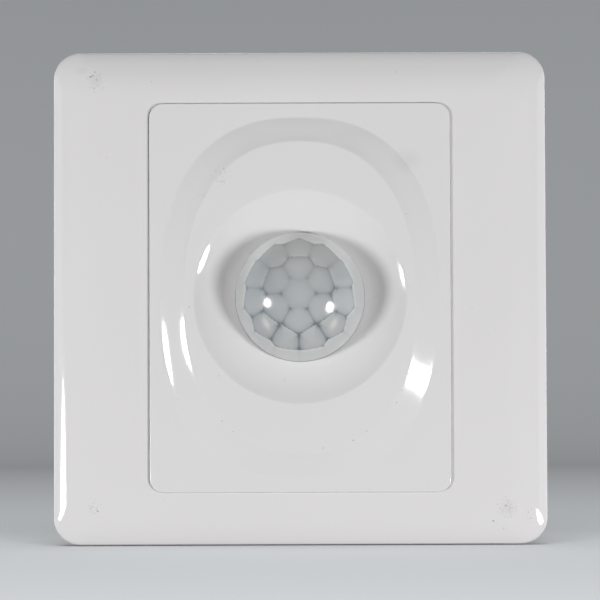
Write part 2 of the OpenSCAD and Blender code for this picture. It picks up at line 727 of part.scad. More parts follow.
module rear_housing() color("white") on_wall() difference() {
    union() {
        prism(rounded_rect(box_w, flange_h, box_corner_r), plate_recess - flange_t, plate_recess);
        difference() {
            prism(rounded_rect(box_w, box_h, box_corner_r), back_z, plate_recess - weld);
            prism(rounded_rect(box_in_w, box_in_h, box_in_corner_r), back_z + box_wall, plate_recess);
        }
        at_corners(post_x, post_y) {
            rod([0, 0], post_shoulder_r, back_z + box_wall - weld, power_rear_z);
            rod([0, 0], post_r, back_z + box_wall - weld, sensor_rear_z);
        }
    }
    prism(rounded_rect(box_in_w, box_in_h, box_in_corner_r),
        plate_recess - flange_t - weld, plate_recess + over);
    at_corners(asm_x, asm_y)
        rod([0, 0], asm_screw_r + pass_gap, plate_recess - flange_t - over, plate_recess + over);
    terminal_notch();
    for (s = [-1, 1]) rod([s * trimmer_x, trimmer_y], trimmer_shaft_r + rotor_hole_gap,
        back_z - over, back_z + box_wall + over);
    at_corners(post_x, post_y) rod([0, 0], small_screw_r + screw_gap,
        sensor_rear_z - small_screw_bite - screw_gap, sensor_rear_z + over);
}

module terminal_notch() {
    w = terminal_w + 2 * terminal_gap;
    translate([-w / 2, terminal_y - over, back_z - over])
        cube([w, over + terminal_l + terminal_gap, over + terminal_h]);
}

module assembly_screws() color("silver") on_wall() at_corners(asm_x, asm_y)
    screw(asm_screw_r, asm_head_r, asm_head_h, plate_recess - flange_t, asm_screw_end_z);

// Sensor board and what it carries

module sensor_board() color("darkgreen") on_wall() difference() {
    prism(rounded_rect(board_w, board_h, board_corner_r), sensor_rear_z, sensor_z);
    at_corners(post_x, post_y) rod([0, 0], small_screw_r + pass_gap, sensor_rear_z - over, sensor_z + over);
    around(pir_lead_circle, pir_lead_angles) lead_hole(sensor_rear_z);
    for (s = [-1, 1]) translate([ldr_offset + s * ldr_lead_x, 0, 0]) lead_hole(sensor_rear_z);
    link_pin_holes(sensor_rear_z);
}

module lead_hole(z) { rod([0, 0], lead_r + lead_gap, z - over, z + board_t + over); }

module link_pin_holes(z) {
    hole_w = link_pin_w + 2 * lead_gap;
    link_pin_places() block([0, 0], [hole_w, hole_w, board_t + 2 * over], z - over);
}

module link_pin_places() {
    for (i = [0 : link_pins - 1]) translate([(i - (link_pins - 1) / 2) * link_pitch, link_y, 0]) children();
}

module board_screws() color("silver") on_wall() at_corners(post_x, post_y)
    mirror([0, 0, 1])
        screw(small_screw_r, small_head_r, small_head_h, -sensor_z, small_screw_bite - sensor_rear_z);

module pir_can() color("silver") on_wall() {
    base_z = sensor_z + pir_spacer_t + pir_base_t;
    top_z = base_z + pir_can_h;
    difference() {
        rod([0, 0], pir_can_r, base_z, top_z);
        rod([0, 0], pir_can_r - pir_can_skin, base_z - over, top_z - pir_can_skin);
        block([0, 0], [pir_window_w, pir_window_w, 2 * over], top_z - over);
    }
}

module pir_window() color("dimgray") on_wall()
    block([0, 0], [pir_window_w, pir_window_w, pir_window_t], lens_centre_z - pir_window_t);

module pir_base() color("silver") on_wall() difference() {
    rod([0, 0], pir_base_r, sensor_z + pir_spacer_t, sensor_z + pir_spacer_t + pir_base_t);
    around(pir_lead_circle, pir_lead_angles)
        rod([0, 0], lead_r + lead_gap, sensor_z, sensor_z + pir_spacer_t + pir_base_t + over);
}

module pir_spacer() color("black") on_wall() difference() {
    rod([0, 0], pir_base_r - pir_spacer_inset, sensor_z, sensor_z + pir_spacer_t);
    around(pir_lead_circle, pir_lead_angles)
        rod([0, 0], lead_r + lead_gap, sensor_z - over, sensor_z + pir_spacer_t + over);
}

module pir_leads() color("gold") on_wall() around(pir_lead_circle, pir_lead_angles)
    rod([0, 0], lead_r, sensor_rear_z - lead_stub, sensor_z + pir_spacer_t + pir_base_t);

module light_sensor() color("sandybrown") on_wall()
    rod([ldr_offset, 0], ldr_r, sensor_z + ldr_stand, sensor_z + ldr_stand + ldr_t);

module light_sensor_leads() color("silver") on_wall() for (s = [-1, 1])
    rod([ldr_offset + s * ldr_lead_x, 0], lead_r, sensor_rear_z - lead_stub, sensor_z + ldr_stand);

module control_chip() color("dimgray") on_wall()
    block(chip_at, chip_size, sensor_rear_z - chip_leg_size[1] - chip_size[2]);

module control_chip_legs() color("silver") on_wall()
    for (s = [-1, 1]) for (i = [0 : chip_legs - 1]) {
        at = chip_at + [(i - (chip_legs - 1) / 2) * chip_leg_pitch, s * (chip_size[1] + chip_leg_out) / 2];
        block(at, [chip_leg_size[0], chip_leg_out, chip_leg_size[1]], sensor_rear_z - chip_leg_size[1]);
    }

module surface_parts() color("tan") on_wall() for (at = surface_at)
    block(at, surface_size, sensor_rear_z - surface_size[2]);

module board_link_body() color("black") on_wall() difference() {
    block([0, link_y], [link_pins * link_pitch, link_pitch, link_body_t], sensor_rear_z - link_body_t);
    link_pin_places()
        block([0, 0], [link_pin_w, link_pin_w, link_body_t + 2 * over], sensor_rear_z - link_body_t - over);
}

module board_link_pins() color("gold") on_wall() link_pin_places()
    block([0, 0], [link_pin_w, link_pin_w, sensor_z - power_rear_z + 2 * lead_stub],
        power_rear_z - lead_stub);

// Power board and what it carries

module power_board() color("darkgreen") on_wall() difference() {
    prism(rounded_rect(board_w, board_h, board_corner_r), power_rear_z, power_z);
    at_corners(post_x, post_y) rod([0, 0], post_r + pass_gap, power_rear_z - over, power_z + over);
    for (at = concat(power_leads, trimmer_leads, [for (p = relay_pin_at) relay_at + p]))
        translate([at[0], at[1], 0]) lead_hole(power_rear_z);
    link_pin_holes(power_rear_z);
    for (x = terminal_xs) block([x, terminal_y + bar_y[1] - bar_leg_l / 2],
        [bar_w + 2 * lead_gap, bar_leg_l + 2 * lead_gap, board_t + 2 * over], power_rear_z - over);
}

module component_leads() color("silver") on_wall() {
    for (at = power_leads) rod(at, lead_r, power_rear_z - lead_stub, power_z);
    for (at = trimmer_leads) rod(at, lead_r, power_rear_z, power_z + lead_stub);
}

module film_capacitor() color("gold") on_wall() block(film_at, film_size, power_z);

module main_capacitor() color("darkslategray") on_wall()
    can_capacitor(main_cap_at, main_cap_r, main_cap_h);

module small_capacitor() color("darkslategray") on_wall()
    can_capacitor(small_cap_at, small_cap_r, small_cap_h);

// An aluminium can with a rolled groove near its foot
module can_capacitor(at, r, h) {
    difference() {
        rod(at, r, power_z, power_z + h);
        translate([at[0], at[1], power_z + 4 * can_groove])
            rotate_extrude() translate([r, 0]) circle(r = can_groove);
    }
}

module varistor() color("royalblue") on_wall()
    translate([varistor_at[0], varistor_at[1] + varistor_t / 2, power_z + varistor_r])
        rotate([90, 0, 0]) cylinder(r = varistor_r, h = varistor_t);

module fuse() color("beige") on_wall()
    translate([fuse_at[0] - fuse_l / 2, fuse_at[1], power_z + fuse_r])
        rotate([0, 90, 0]) cylinder(r = fuse_r, h = fuse_l);

module diodes() color("black") on_wall() for (x = diode_xs)
    translate([x, diode_y + diode_l / 2, power_z + diode_r])
        rotate([90, 0, 0]) cylinder(r = diode_r, h = diode_l);

module resistors() color("lightblue") on_wall() for (y = resistor_ys)
    translate([resistor_x - resistor_l / 2, y, power_z + resistor_r])
        rotate([0, 90, 0]) cylinder(r = resistor_r, h = resistor_l);

module transistor() color("black") on_wall() difference() {
    rod(transistor_at, transistor_r, power_z, power_z + transistor_h);
    translate([transistor_at[0] - transistor_r, transistor_at[1] + transistor_r / 2, power_z - over])
        cube([2 * transistor_r, transistor_r, transistor_h + 2 * over]);
}

// Relay

module in_relay() on_wall() translate([relay_at[0], relay_at[1], power_z]) children();

module relay_base() color("royalblue") in_relay() difference() {
    block([0, 0], [relay_in_w, relay_in_l, relay_base_t], 0);
    for (p = relay_pin_at) rod(p, lead_r + lead_gap, -over, relay_base_t + over);
}

module relay_cover() color("royalblue") in_relay() difference() {
    block([0, 0], [relay_w, relay_l, relay_h], 0);
    block([0, 0], [relay_w - 2 * relay_wall, relay_l - 2 * relay_wall, relay_h - relay_wall + over], -over);
}

module relay_bobbin() color("whitesmoke") in_relay() difference() {
    union() {
        rod([coil_x, 0], bobbin_r, bobbin_z, bobbin_z + bobbin_t);
        rod([coil_x, 0], core_r + bobbin_tube_t, bobbin_z, pole_z);
        rod([coil_x, 0], bobbin_r, pole_z - bobbin_t, pole_z);
    }
    rod([coil_x, 0], core_r, bobbin_z - over, pole_z + over);
}

module relay_winding() color("chocolate") in_relay() difference() {
    rod([coil_x, 0], coil_r, bobbin_z + bobbin_t, pole_z - bobbin_t);
    rod([coil_x, 0], core_r + bobbin_tube_t, bobbin_z, pole_z);
}

// The L-shaped yoke, with the core riveted into its foot
module relay_yoke() color("silver") in_relay() {
    foot_w = coil_x + bobbin_r - yoke_out_x;
    translate([yoke_out_x, -yoke_l / 2, relay_base_t]) cube([foot_w, yoke_l, yoke_t]);
    translate([yoke_out_x, -yoke_l / 2, relay_base_t])
        cube([yoke_t, yoke_l, armature_z - yoke_gap - relay_base_t]);
    rod([coil_x, 0], core_r, relay_base_t, pole_z + weld);
    rod([coil_x, 0], pole_r, pole_z, pole_z + pole_t);
}

// The armature with its contact leaf; it rocks on the top inner edge of the yoke
module relay_armature() color("silver") in_relay() {
    translate([yoke_out_x, -yoke_l / 2, armature_z]) cube([armature_end_x - yoke_out_x, yoke_l, armature_t]);
    translate([armature_end_x - leaf_root, -leaf_w / 2, leaf_z - weld])
        cube([leaf_root, leaf_w, leaf_t + weld]);
    translate([armature_end_x - leaf_root, -leaf_w / 2, leaf_z])
        cube([contact_x + contact_r - armature_end_x + leaf_root, leaf_w, leaf_t]);
    rod([contact_x, 0], contact_r, leaf_z - contact_t, leaf_z + leaf_t + contact_t);
}

// The fixed contacts: the upper one closed at rest, the lower one closed when the relay pulls in
module relay_contacts() color("gold") in_relay() {
    upper_z = leaf_z + leaf_t + contact_t + contact_gap;
    lower_z = leaf_z - contact_t - contact_gap - contact_drop - contact_t;
    relay_blade(1, upper_z + contact_t);
    rod([contact_x, 0], contact_r, upper_z, upper_z + contact_t + weld);
    relay_blade(-1, lower_z - blade_t);
    rod([contact_x, 0], contact_r, lower_z - weld, lower_z + contact_t);
}

module relay_blade(side, arm_z) {
    arm_x = contact_x - contact_r;
    y0 = side > 0 ? blade_near_y : -blade_far_y;
    translate([blade_x, y0, relay_base_t])
        cube([blade_t, blade_far_y - blade_near_y, arm_z + blade_t - relay_base_t]);
    translate([arm_x, side > 0 ? -contact_r : -blade_far_y, arm_z])
        cube([blade_x + blade_t - arm_x, blade_far_y + contact_r, blade_t]);
}

module relay_pins() color("silver") in_relay() for (p = relay_pin_at)
    rod(p, lead_r, -board_t - lead_stub, relay_base_t);

// Terminals

module at_terminals() on_wall() translate([0, terminal_y, back_z]) children();

module terminal_block() color("ghostwhite") at_terminals() difference() {
    translate([-terminal_w / 2, 0, 0]) cube([terminal_w, terminal_l, terminal_h]);
    for (x = terminal_xs) {
        translate([x - chamber_w / 2, chamber_y[0], chamber_z])
            cube([chamber_w, chamber_y[1] - chamber_y[0], terminal_h - chamber_z + over]);
        rod([x, terminal_axis_y], terminal_head_r + pass_gap, -over, head_z + screw_gap);
        rod([x, terminal_axis_y], terminal_screw_r + pass_gap, 0, chamber_z + over);
        translate([x, chamber_y[0] + weld, wire_z])
            rotate([90, 0, 0]) cylinder(r = wire_r, h = chamber_y[0] + weld + over);
    }
}

// The fixed bars that the wires are clamped against, each with a leg soldered into the board
module terminal_bars() color("goldenrod") at_terminals() for (x = terminal_xs) {
    translate([x - bar_w / 2, bar_y[0], bar_z]) cube([bar_w, bar_y[1] - bar_y[0], bar_t]);
    translate([x - bar_w / 2, bar_y[1] - bar_leg_l, bar_z])
        cube([bar_w, bar_leg_l, terminal_h + board_t + lead_stub - bar_z]);
}

// A box clamp on the screw's thread, drawn fully open
module terminal_clamp(i) color("goldenrod") at_terminals()
    translate([terminal_xs[i], terminal_axis_y, clamp_open_z]) difference() {
        block([0, 0], [clamp_w, clamp_l, clamp_h], 0);
        block([0, 0], [clamp_in_w, clamp_l + 2 * over, clamp_in_h], clamp_wall);
        rod([0, 0], terminal_screw_r + screw_gap, -over, clamp_wall + over);
    }

module terminal_screw(i) color("silver") at_terminals()
    translate([terminal_xs[i], terminal_axis_y, head_z - terminal_head_h]) difference() {
        union() {
            rod([0, 0], terminal_head_r, 0, terminal_head_h);
            rod([0, 0], terminal_screw_r, terminal_head_h - weld,
                terminal_head_h + bar_z - screw_gap - head_z);
        }
        block([0, 0], [2 * terminal_head_r + over, head_slot[0], head_slot[1] + over], -over);
    }

// Trimmers

module at_trimmer(side) on_wall()
    translate([side * trimmer_x, trimmer_y, power_rear_z]) mirror([0, 0, 1]) children();

module trimmer_body(side) at_trimmer(side) difference() {
    block([0, 0], [trimmer_w, trimmer_w, trimmer_h], 0);
    rod([0, 0], rotor_hub_r + rotor_gap, trimmer_h - rotor_hub_l - rotor_gap, trimmer_h + over);
}

module trimmer_rotor(side) at_trimmer(side) {
    disc_z = trimmer_h + rotor_gap;
    end_z = terminal_h - rotor_recess;
    difference() {
        union() {
            rod([0, 0], rotor_hub_r, disc_z - rotor_hub_l, disc_z + weld);
            rod([0, 0], rotor_disc_r, disc_z, disc_z + rotor_disc_t);
            rod([0, 0], trimmer_shaft_r, disc_z, end_z);
        }
        block([0, 0], [2 * trimmer_shaft_r + over, rotor_slot[0], rotor_slot[1] + over],
            end_z - rotor_slot[1]);
    }
}

module time_trimmer_body() color("royalblue") trimmer_body(-1);
module time_trimmer_rotor() color("white") trimmer_rotor(-1);
module light_trimmer_body() color("royalblue") trimmer_body(1);
module light_trimmer_rotor() color("white") trimmer_rotor(1);

face_frame();
sensor_panel();
fresnel_lens();
lens_retainer();
retainer_screws();
mounting_plate();
rear_housing();
assembly_screws();
sensor_board();
board_screws();
pir_can();
pir_window();
pir_base();
pir_spacer();
pir_leads();
light_sensor();
light_sensor_leads();
control_chip();
control_chip_legs();
surface_parts();
board_link_body();
board_link_pins();
power_board();
component_leads();
film_capacitor();
main_capacitor();
small_capacitor();
varistor();
fuse();
diodes();
resistors();
transistor();
relay_base();
relay_cover();
relay_bobbin();
relay_winding();
relay_yoke();
relay_armature();
relay_contacts();
relay_pins();
terminal_block();
terminal_bars();
terminal_clamp(0);  // terminal_clamp_1
terminal_clamp(1);  // terminal_clamp_2
terminal_clamp(2);  // terminal_clamp_3
terminal_screw(0);  // terminal_screw_1
terminal_screw(1);  // terminal_screw_2
terminal_screw(2);  // terminal_screw_3
time_trimmer_body();
time_trimmer_rotor();
light_trimmer_body();
light_trimmer_rotor();
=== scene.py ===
# Motion sensor light switch, dressed for the eye: a square white wall plate with a proud panel, a raised
# oval with a dished middle, a milky domed lens, and the moulded housing that stands in the wall behind it.

import json
import math

import bmesh
import bpy
from mathutils import Matrix, Vector


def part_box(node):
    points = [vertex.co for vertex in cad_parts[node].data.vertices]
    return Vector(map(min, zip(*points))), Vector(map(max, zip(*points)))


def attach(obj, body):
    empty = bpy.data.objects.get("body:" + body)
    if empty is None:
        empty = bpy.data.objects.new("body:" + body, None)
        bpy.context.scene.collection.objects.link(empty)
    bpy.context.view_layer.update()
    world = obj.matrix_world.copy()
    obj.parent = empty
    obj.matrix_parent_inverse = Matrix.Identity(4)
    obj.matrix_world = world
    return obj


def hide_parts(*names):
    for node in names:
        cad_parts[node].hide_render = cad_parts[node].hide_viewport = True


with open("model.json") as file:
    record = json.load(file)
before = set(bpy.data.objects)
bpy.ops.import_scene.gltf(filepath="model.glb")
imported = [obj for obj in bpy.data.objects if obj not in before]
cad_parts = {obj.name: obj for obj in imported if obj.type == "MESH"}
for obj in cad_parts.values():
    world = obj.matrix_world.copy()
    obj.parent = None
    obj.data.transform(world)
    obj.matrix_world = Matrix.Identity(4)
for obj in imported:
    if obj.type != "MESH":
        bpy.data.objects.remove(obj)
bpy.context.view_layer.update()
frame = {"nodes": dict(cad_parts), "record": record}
scene = bpy.context.scene

# Sizes in millimetres, face up: x to the right, y up the wall, z out of the wall
mm = 0.001
stand_up = Matrix.Rotation(math.radians(90), 4, "X") @ Matrix.Scale(mm, 4)


def measure(node):
    """Width, height, back and front of a solid in millimetres, seen face up."""
    low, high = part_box(node)
    return (high.x - low.x) / mm, (high.z - low.z) / mm, -high.y / mm, -low.y / mm


frame_w, frame_h, _, frame_face = measure("face_frame")
panel_w, panel_h, panel_foot, oval_top = measure("sensor_panel")
flange_w, _, lens_foot, lens_top = measure("fresnel_lens")

# Face frame
corner_r = 4.6
crown_run = 9.5
crown_drop = 5.2
crown_end = 54.0
draft = 0.2
foot_soft = 0.16
shoulder_soft = 0.3
seam_left = 0.11
seam_right = 0.025
seam_top = 0.01
seam_bottom = 0.01
window_r = 2.5
window_soft = 0.14
lining_t = 1.4
lining_foot = 2.2
frame_ceiling = 6.2
rim_ceiling = 5.55
rim_wall = 2.0
deep_wall = 4.25
clip_x = 24.0
clip_w = 6.0
clip_y = 38.1
clip_t = 1.2
clip_foot = 3.1
clip_soft = 0.15
# How far a clip or a post runs into the ceiling that it hangs from
rooted = 0.3

# Sensor panel
panel_r = 2.4
panel_soft = 0.2
panel_proud = 0.4
panel_face = frame_face + panel_proud
panel_wall = 1.8
panel_ceiling = panel_face - panel_wall
boss_r = 2.8
boss_x = 19.95
boss_y = 30.05
oval_side_margin = 1.9
oval_end_margin = 2.6
oval_w = panel_w - 2 * oval_side_margin
oval_h = panel_h - 2 * oval_end_margin
oval_fullness = 2.46
oval_top_fullness = 2.3
bevel_run = 4.2
bevel_rise = oval_top - panel_face
bevel_soft = 0.25
# How far the band bends in an S, as a share of its rise, and where round the oval it stays flat, in degrees
bevel_bend = 0.115
flat_side = -32.0
flat_reach = 36.0
dish_land = 1.6
dish_r = oval_w / 2 - bevel_run - dish_land
dish_floor_r = 12.1
dish_depth = 1.7
dish_floor = oval_top - dish_depth
rim_soft = 0.25
lens_hole_r = 11.21
hole_soft = 0.08
pocket_r = 18.9
flange_top = dish_floor - panel_wall

# Lens
lens_r = 12.2
lens_centre = lens_top - lens_r
skirt_r = 11.16
lens_wall = 0.9
flange_soft = 0.15
# Each ring of lenslets: degrees from the axis, number of lenslets, and turn in shares of a lenslet
lenslet_rings = ((0.0, 1, 0.0), (23.0, 6, 0.0), (41.0, 11, 0.0), (62.0, 14, 0.5))
plain_ring = 3
lenslet_reach = 11.5
lenslet_bulge = 0.35
lean_up = 1.4
lean_left = 1.2
drawn_in = 0.975
field_edge_w = 0.12

# Painted light on the lens, from 0 for the darker tone of a place to 1 for its paler one
ring_glow_low = 0.4
ring_glow_side = 0.12
ring_glow_right = 0.05
# Painted highlight along the plain ring's inner edge
ring_edge_highlight = 0.3
ring_edge_w = 0.3
cell_glow = 0.36
cell_glow_high = 0.3
cell_high = 0.7
cell_glow_power = 1.3
cell_glow_low = 0.15
cell_glow_right = 0.12
cell_dim_side = 0.4
# Painted highlight on second-ring cells along their edge with the first ring
cell_edge_highlight = 0.25
cell_edge_w = 0.25

# Two painted highlights, streaks low on the dome, one on each side
highlight_x = 5.8
highlight_y = -4.8
highlight_l = 1.2
highlight_w = 0.5
highlight_lean = -60.0
highlight_glow = 0.6

# Painted shade of the joints, over their own darker line: depth on a lenslet of the first ring, towards one
# of the second
joint_depth = {(0, 1): 0.55, (1, 0): 0.35, (1, 1): 0.6, (1, 2): 1.0, (2, 1): 0.1, (2, 2): 0.65,
               (2, 3): 0.5}
joint_fade_high = 0.5
soft_joint = 0.42
soft_joint_w = 0.8
crisp_joint_high = 0.12
crisp_joint_low = 0.3
crisp_joint_w = 0.18
ring_joint = 0.1
ring_joint_w = 0.15
pit_high = 0.2
pit_low = 0.5
pit_w = 0.45
pit_level = 0.15

# Steps of the drawn outlines
corner_steps = 16
side_steps = 16
oval_steps = 160
bevel_steps = 14
ring_steps = 128
soft_steps = 6
crown_steps = 18
post_steps = 32
lens_turns = 240
lens_rows = 90
cavity_rows = 48

# Turns of a surface, in degrees: what counts as flat, as a sharp edge and as an edge to ease
flat_turn = 0.5
sharp_turn = 35
ease_turn = 40


# Outlines, drawn with a pen
def lay_in(bm, paper):
    """Lays a drawing, made apart so that it is quick, into a piece. Returns its new points and edges."""
    points, edges = set(bm.verts), set(bm.edges)
    sheet = bpy.data.meshes.new("drawing")
    paper.to_mesh(sheet)
    paper.free()
    bm.from_mesh(sheet)
    bpy.data.meshes.remove(sheet)
    new_points = [vert for vert in bm.verts if vert not in points]
    return new_points, [edge for edge in bm.edges if edge not in edges]


def draw_outline(bm, z, start, strokes):
    """Draws a closed outline and returns its edges. A stroke of steps, x, y is a straight run to that
    point. A stroke of steps, x, y, turn is an arc of that many degrees about that point."""
    paper = bmesh.new()
    first = paper.verts.new((start[0], start[1], z))
    pen = first
    for steps, x, y, *turn in strokes:
        move = Vector() if turn else (Vector((x, y, z)) - pen.co) / steps
        swept = bmesh.ops.spin(paper, geom=[pen], cent=(x, y, z), axis=(0, 0, 1), dvec=move,
                               angle=math.radians(*turn or [0]), steps=steps)
        pen = [part for part in swept["geom_last"] if isinstance(part, bmesh.types.BMVert)][0]
    bmesh.ops.pointmerge(paper, verts=[first, pen], merge_co=first.co)
    return lay_in(bm, paper)[1]


def rounded_square(bm, left, right, bottom, top, radius, z):
    in_left, in_right = left + radius, right - radius
    in_bottom, in_top = bottom + radius, top - radius
    return draw_outline(bm, z, (right, in_bottom), [
        (side_steps, right, in_top), (corner_steps, in_right, in_top, 90),
        (side_steps, in_left, top), (corner_steps, in_left, in_top, 90),
        (side_steps, left, in_bottom), (corner_steps, in_left, in_bottom, 90),
        (side_steps, in_right, bottom), (corner_steps, in_right, in_bottom, 90)])


def round_ring(bm, radius, z, steps=ring_steps):
    return draw_outline(bm, z, (radius, 0), [(steps, 0, 0, 360)])


def oval_ring(bm, inset, z):
    """The raised oval's outline: a circle pulled out into a full oval, which is rounder towards its top.
    The band below it bends in a slight S, full by its outer edge and hollow by its inner one, and stays flat
    on the lower right."""
    power = 2 / (oval_fullness + (oval_top_fullness - oval_fullness) * inset / bevel_run)
    off = min(max(2 * inset / bevel_run - 1, -1), 1)
    paper = bmesh.new()
    for vert in bmesh.ops.create_circle(paper, segments=oval_steps, radius=1)["verts"]:
        x, y, _ = vert.co
        turn = (math.degrees(math.atan2(y, x)) - flat_side + 180) % 360 - 180
        bend = bevel_bend * (1 - math.exp(-(turn / flat_reach) ** 2))
        vert.co = ((oval_w / 2 - inset) * math.copysign(abs(x) ** power, x),
                   (oval_h / 2 - inset) * math.copysign(abs(y) ** power, y),
                   z + bevel_rise * bend * (off ** 3 - off) / 2)
    return lay_in(bm, paper)[1]


def eased(start, knee, end):
    """Points that round a corner of a profile, from before its knee to after it."""
    shares = [step / soft_steps for step in range(soft_steps + 1)]
    return [tuple(a * (1 - t) ** 2 + 2 * b * t * (1 - t) + c * t ** 2 for a, b, c in zip(start, knee, end))
            for t in shares]


def skin(bm, outlines, closed=False):
    """Skins a row of outlines, each to the next, and the last to the first where the skin is closed.
    Two outlines at one height bound a flat face."""
    for near, far in zip(outlines, outlines[1:] + outlines[:1] * closed):
        level = {round(edge.verts[0].co.z, 5) for edge in near + far}
        if len(level) == 1:
            bmesh.ops.triangle_fill(bm, edges=near + far, use_beauty=True, normal=(0, 0, 1))
        else:
            bmesh.ops.bridge_loops(bm, edges=near + far)


def soft_block(bm, centre, size, soft):
    """A small moulded block with eased edges, as an island of the piece."""
    made = bmesh.ops.create_cube(bm, size=1)["verts"]
    bmesh.ops.scale(bm, vec=size, verts=made)
    bmesh.ops.translate(bm, vec=centre, verts=made)
    edges = list({edge for vert in made for edge in vert.link_edges})
    bmesh.ops.bevel(bm, geom=edges, offset=soft, offset_type="OFFSET", affect="EDGES", segments=2,
                    profile=0.5, material=-1)


def place_piece(bm, name, body, slot, node):
    """Makes a piece of a mesh, rides it on its body and shows it in place of its plain solid."""
    mesh = bpy.data.meshes.new(name)
    bm.to_mesh(mesh)
    bm.free()
    mesh.shade_smooth()
    mesh.set_sharp_from_angle(angle=math.radians(sharp_turn))
    mesh.materials.append(finishes[slot])
    piece = bpy.data.objects.new(name, mesh)
    scene.collection.objects.link(piece)
    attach(piece, body)
    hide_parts(node)
    return piece


def place_drawn(bm, name, body, slot, node):
    """Stands a drawn mesh up on the wall, and makes its piece."""
    bmesh.ops.recalc_face_normals(bm, faces=bm.faces)
    bmesh.ops.transform(bm, matrix=stand_up, verts=bm.verts)
    return place_piece(bm, name, body, slot, node)


def keep_flats(piece):
    """Lets the large flat faces of a piece set its shading."""
    piece.modifiers.new("true_flats", "WEIGHTED_NORMAL").keep_sharp = True


# Materials
def to_linear(code):
    channels = [int(code[place:place + 2], 16) / 255 for place in (1, 3, 5)]
    return [c / 12.92 if c <= 0.04045 else ((c + 0.055) / 1.055) ** 2.4 for c in channels] + [1.0]


def per_mm(size):
    """The scale of a pattern whose features are this many millimetres across."""
    return 1 / (size * mm)


def add(tree, kind, inputs, **settings):
    """Adds a node with its settings, and sets or links its inputs."""
    node = tree.nodes.new(kind)
    for name, value in settings.items():
        setattr(node, name, value)
    for name, value in inputs.items():
        if isinstance(value, bpy.types.NodeSocket):
            tree.links.new(value, node.inputs[name])
        else:
            node.inputs[name].default_value = value
    return node


def new_surface(name, constants):
    """A material with one shader, whose even values are set on the shader's own sockets."""
    material = bpy.data.materials.new(name)
    material.use_nodes = True
    tree = material.node_tree
    shader = tree.nodes["Principled BSDF"]
    for socket, value in constants.items():
        shader.inputs[socket].default_value = value
    place = add(tree, "ShaderNodeTexCoord", {}).outputs["Object"]
    return material, tree, shader, place


def glossy_abs(name, clean, dusty, marks):
    """Glossy white ABS, injection moulded in a polished tool: clean reflections that waver a little, fine
    dust and the marks of use. Each mark is its kind, x, y, half width, half height in millimetres and depth
    of tone."""
    material, tree, shader, place = new_surface(name, {"IOR": 1.53, "Specular IOR Level": 0.5})
    haze = add(tree, "ShaderNodeTexNoise", {"Vector": place, "Scale": per_mm(26), "Detail": 3.0})
    tone = add(tree, "ShaderNodeMixRGB", {
        "Fac": haze.outputs["Fac"], "Color1": to_linear(clean), "Color2": to_linear(dusty)})
    # Dust is drawn about three times as coarse as it is, so that a grain shows
    dust = add(tree, "ShaderNodeTexVoronoi", {"Vector": place, "Scale": per_mm(2.3), "Randomness": 1.0})
    grains = add(tree, "ShaderNodeMapRange", {
        "Value": dust.outputs["Distance"], "From Min": 0.05, "From Max": 0.025, "To Min": 0.0,
        "To Max": 0.35})
    patchy = add(tree, "ShaderNodeTexNoise", {"Vector": place, "Scale": per_mm(7), "Detail": 2.0})
    some = add(tree, "ShaderNodeMapRange", {
        "Value": patchy.outputs["Fac"], "From Min": 0.54, "From Max": 0.66})
    dirt = add(tree, "ShaderNodeMath", {0: grains.outputs["Result"], 1: some.outputs["Result"]},
               operation="MULTIPLY").outputs["Value"]
    # Grit ground into the face
    bits = add(tree, "ShaderNodeTexVoronoi", {"Vector": place, "Scale": per_mm(0.5), "Randomness": 1.0})
    chosen = add(tree, "ShaderNodeSeparateXYZ", {"Vector": bits.outputs["Color"]})
    dots = add(tree, "ShaderNodeMapRange", {
        "Value": bits.outputs["Distance"], "From Min": 0.42, "From Max": 0.16})
    grit = add(tree, "ShaderNodeMath", {0: dots.outputs["Result"], 1: chosen.outputs["X"]},
               operation="MULTIPLY")
    patterns = {"grit": grit.outputs["Value"], "speck": 1.0, "smudge": 1.0}
    for kind, x, y, half_w, half_h, depth in marks:
        around = add(tree, "ShaderNodeMapping", {
            "Vector": place, "Location": (x * mm, 0, y * mm), "Scale": (half_w * mm, 1, half_h * mm)},
            vector_type="TEXTURE")
        reach = add(tree, "ShaderNodeVectorMath", {0: around.outputs["Vector"]}, operation="LENGTH")
        fade = add(tree, "ShaderNodeMapRange", {
            "Value": reach.outputs["Value"], "From Min": 1.0, "From Max": 0.2, "To Max": depth})
        mark = add(tree, "ShaderNodeMath", {0: fade.outputs["Result"], 1: patterns[kind]},
                   operation="MULTIPLY")
        dirt = add(tree, "ShaderNodeMath", {0: dirt, 1: mark.outputs["Value"]},
                   operation="MAXIMUM").outputs["Value"]
    marked = add(tree, "ShaderNodeMixRGB", {
        "Fac": dirt, "Color1": tone.outputs["Color"], "Color2": to_linear("#54463a")})
    tree.links.new(marked.outputs["Color"], shader.inputs["Base Color"])
    gloss = add(tree, "ShaderNodeMapRange", {
        "Value": haze.outputs["Fac"], "From Min": 0.3, "From Max": 0.7, "To Min": 0.05, "To Max": 0.09})
    dulled = add(tree, "ShaderNodeMath", {0: gloss.outputs["Result"], 1: dirt}, operation="ADD")
    tree.links.new(dulled.outputs["Value"], shader.inputs["Roughness"])
    waver = add(tree, "ShaderNodeTexNoise", {"Vector": place, "Scale": per_mm(1.6), "Detail": 2.0})
    bump = add(tree, "ShaderNodeBump", {
        "Height": waver.outputs["Fac"], "Strength": 0.25, "Distance": 0.01 * mm})
    tree.links.new(bump.outputs["Normal"], shader.inputs["Normal"])
    return material


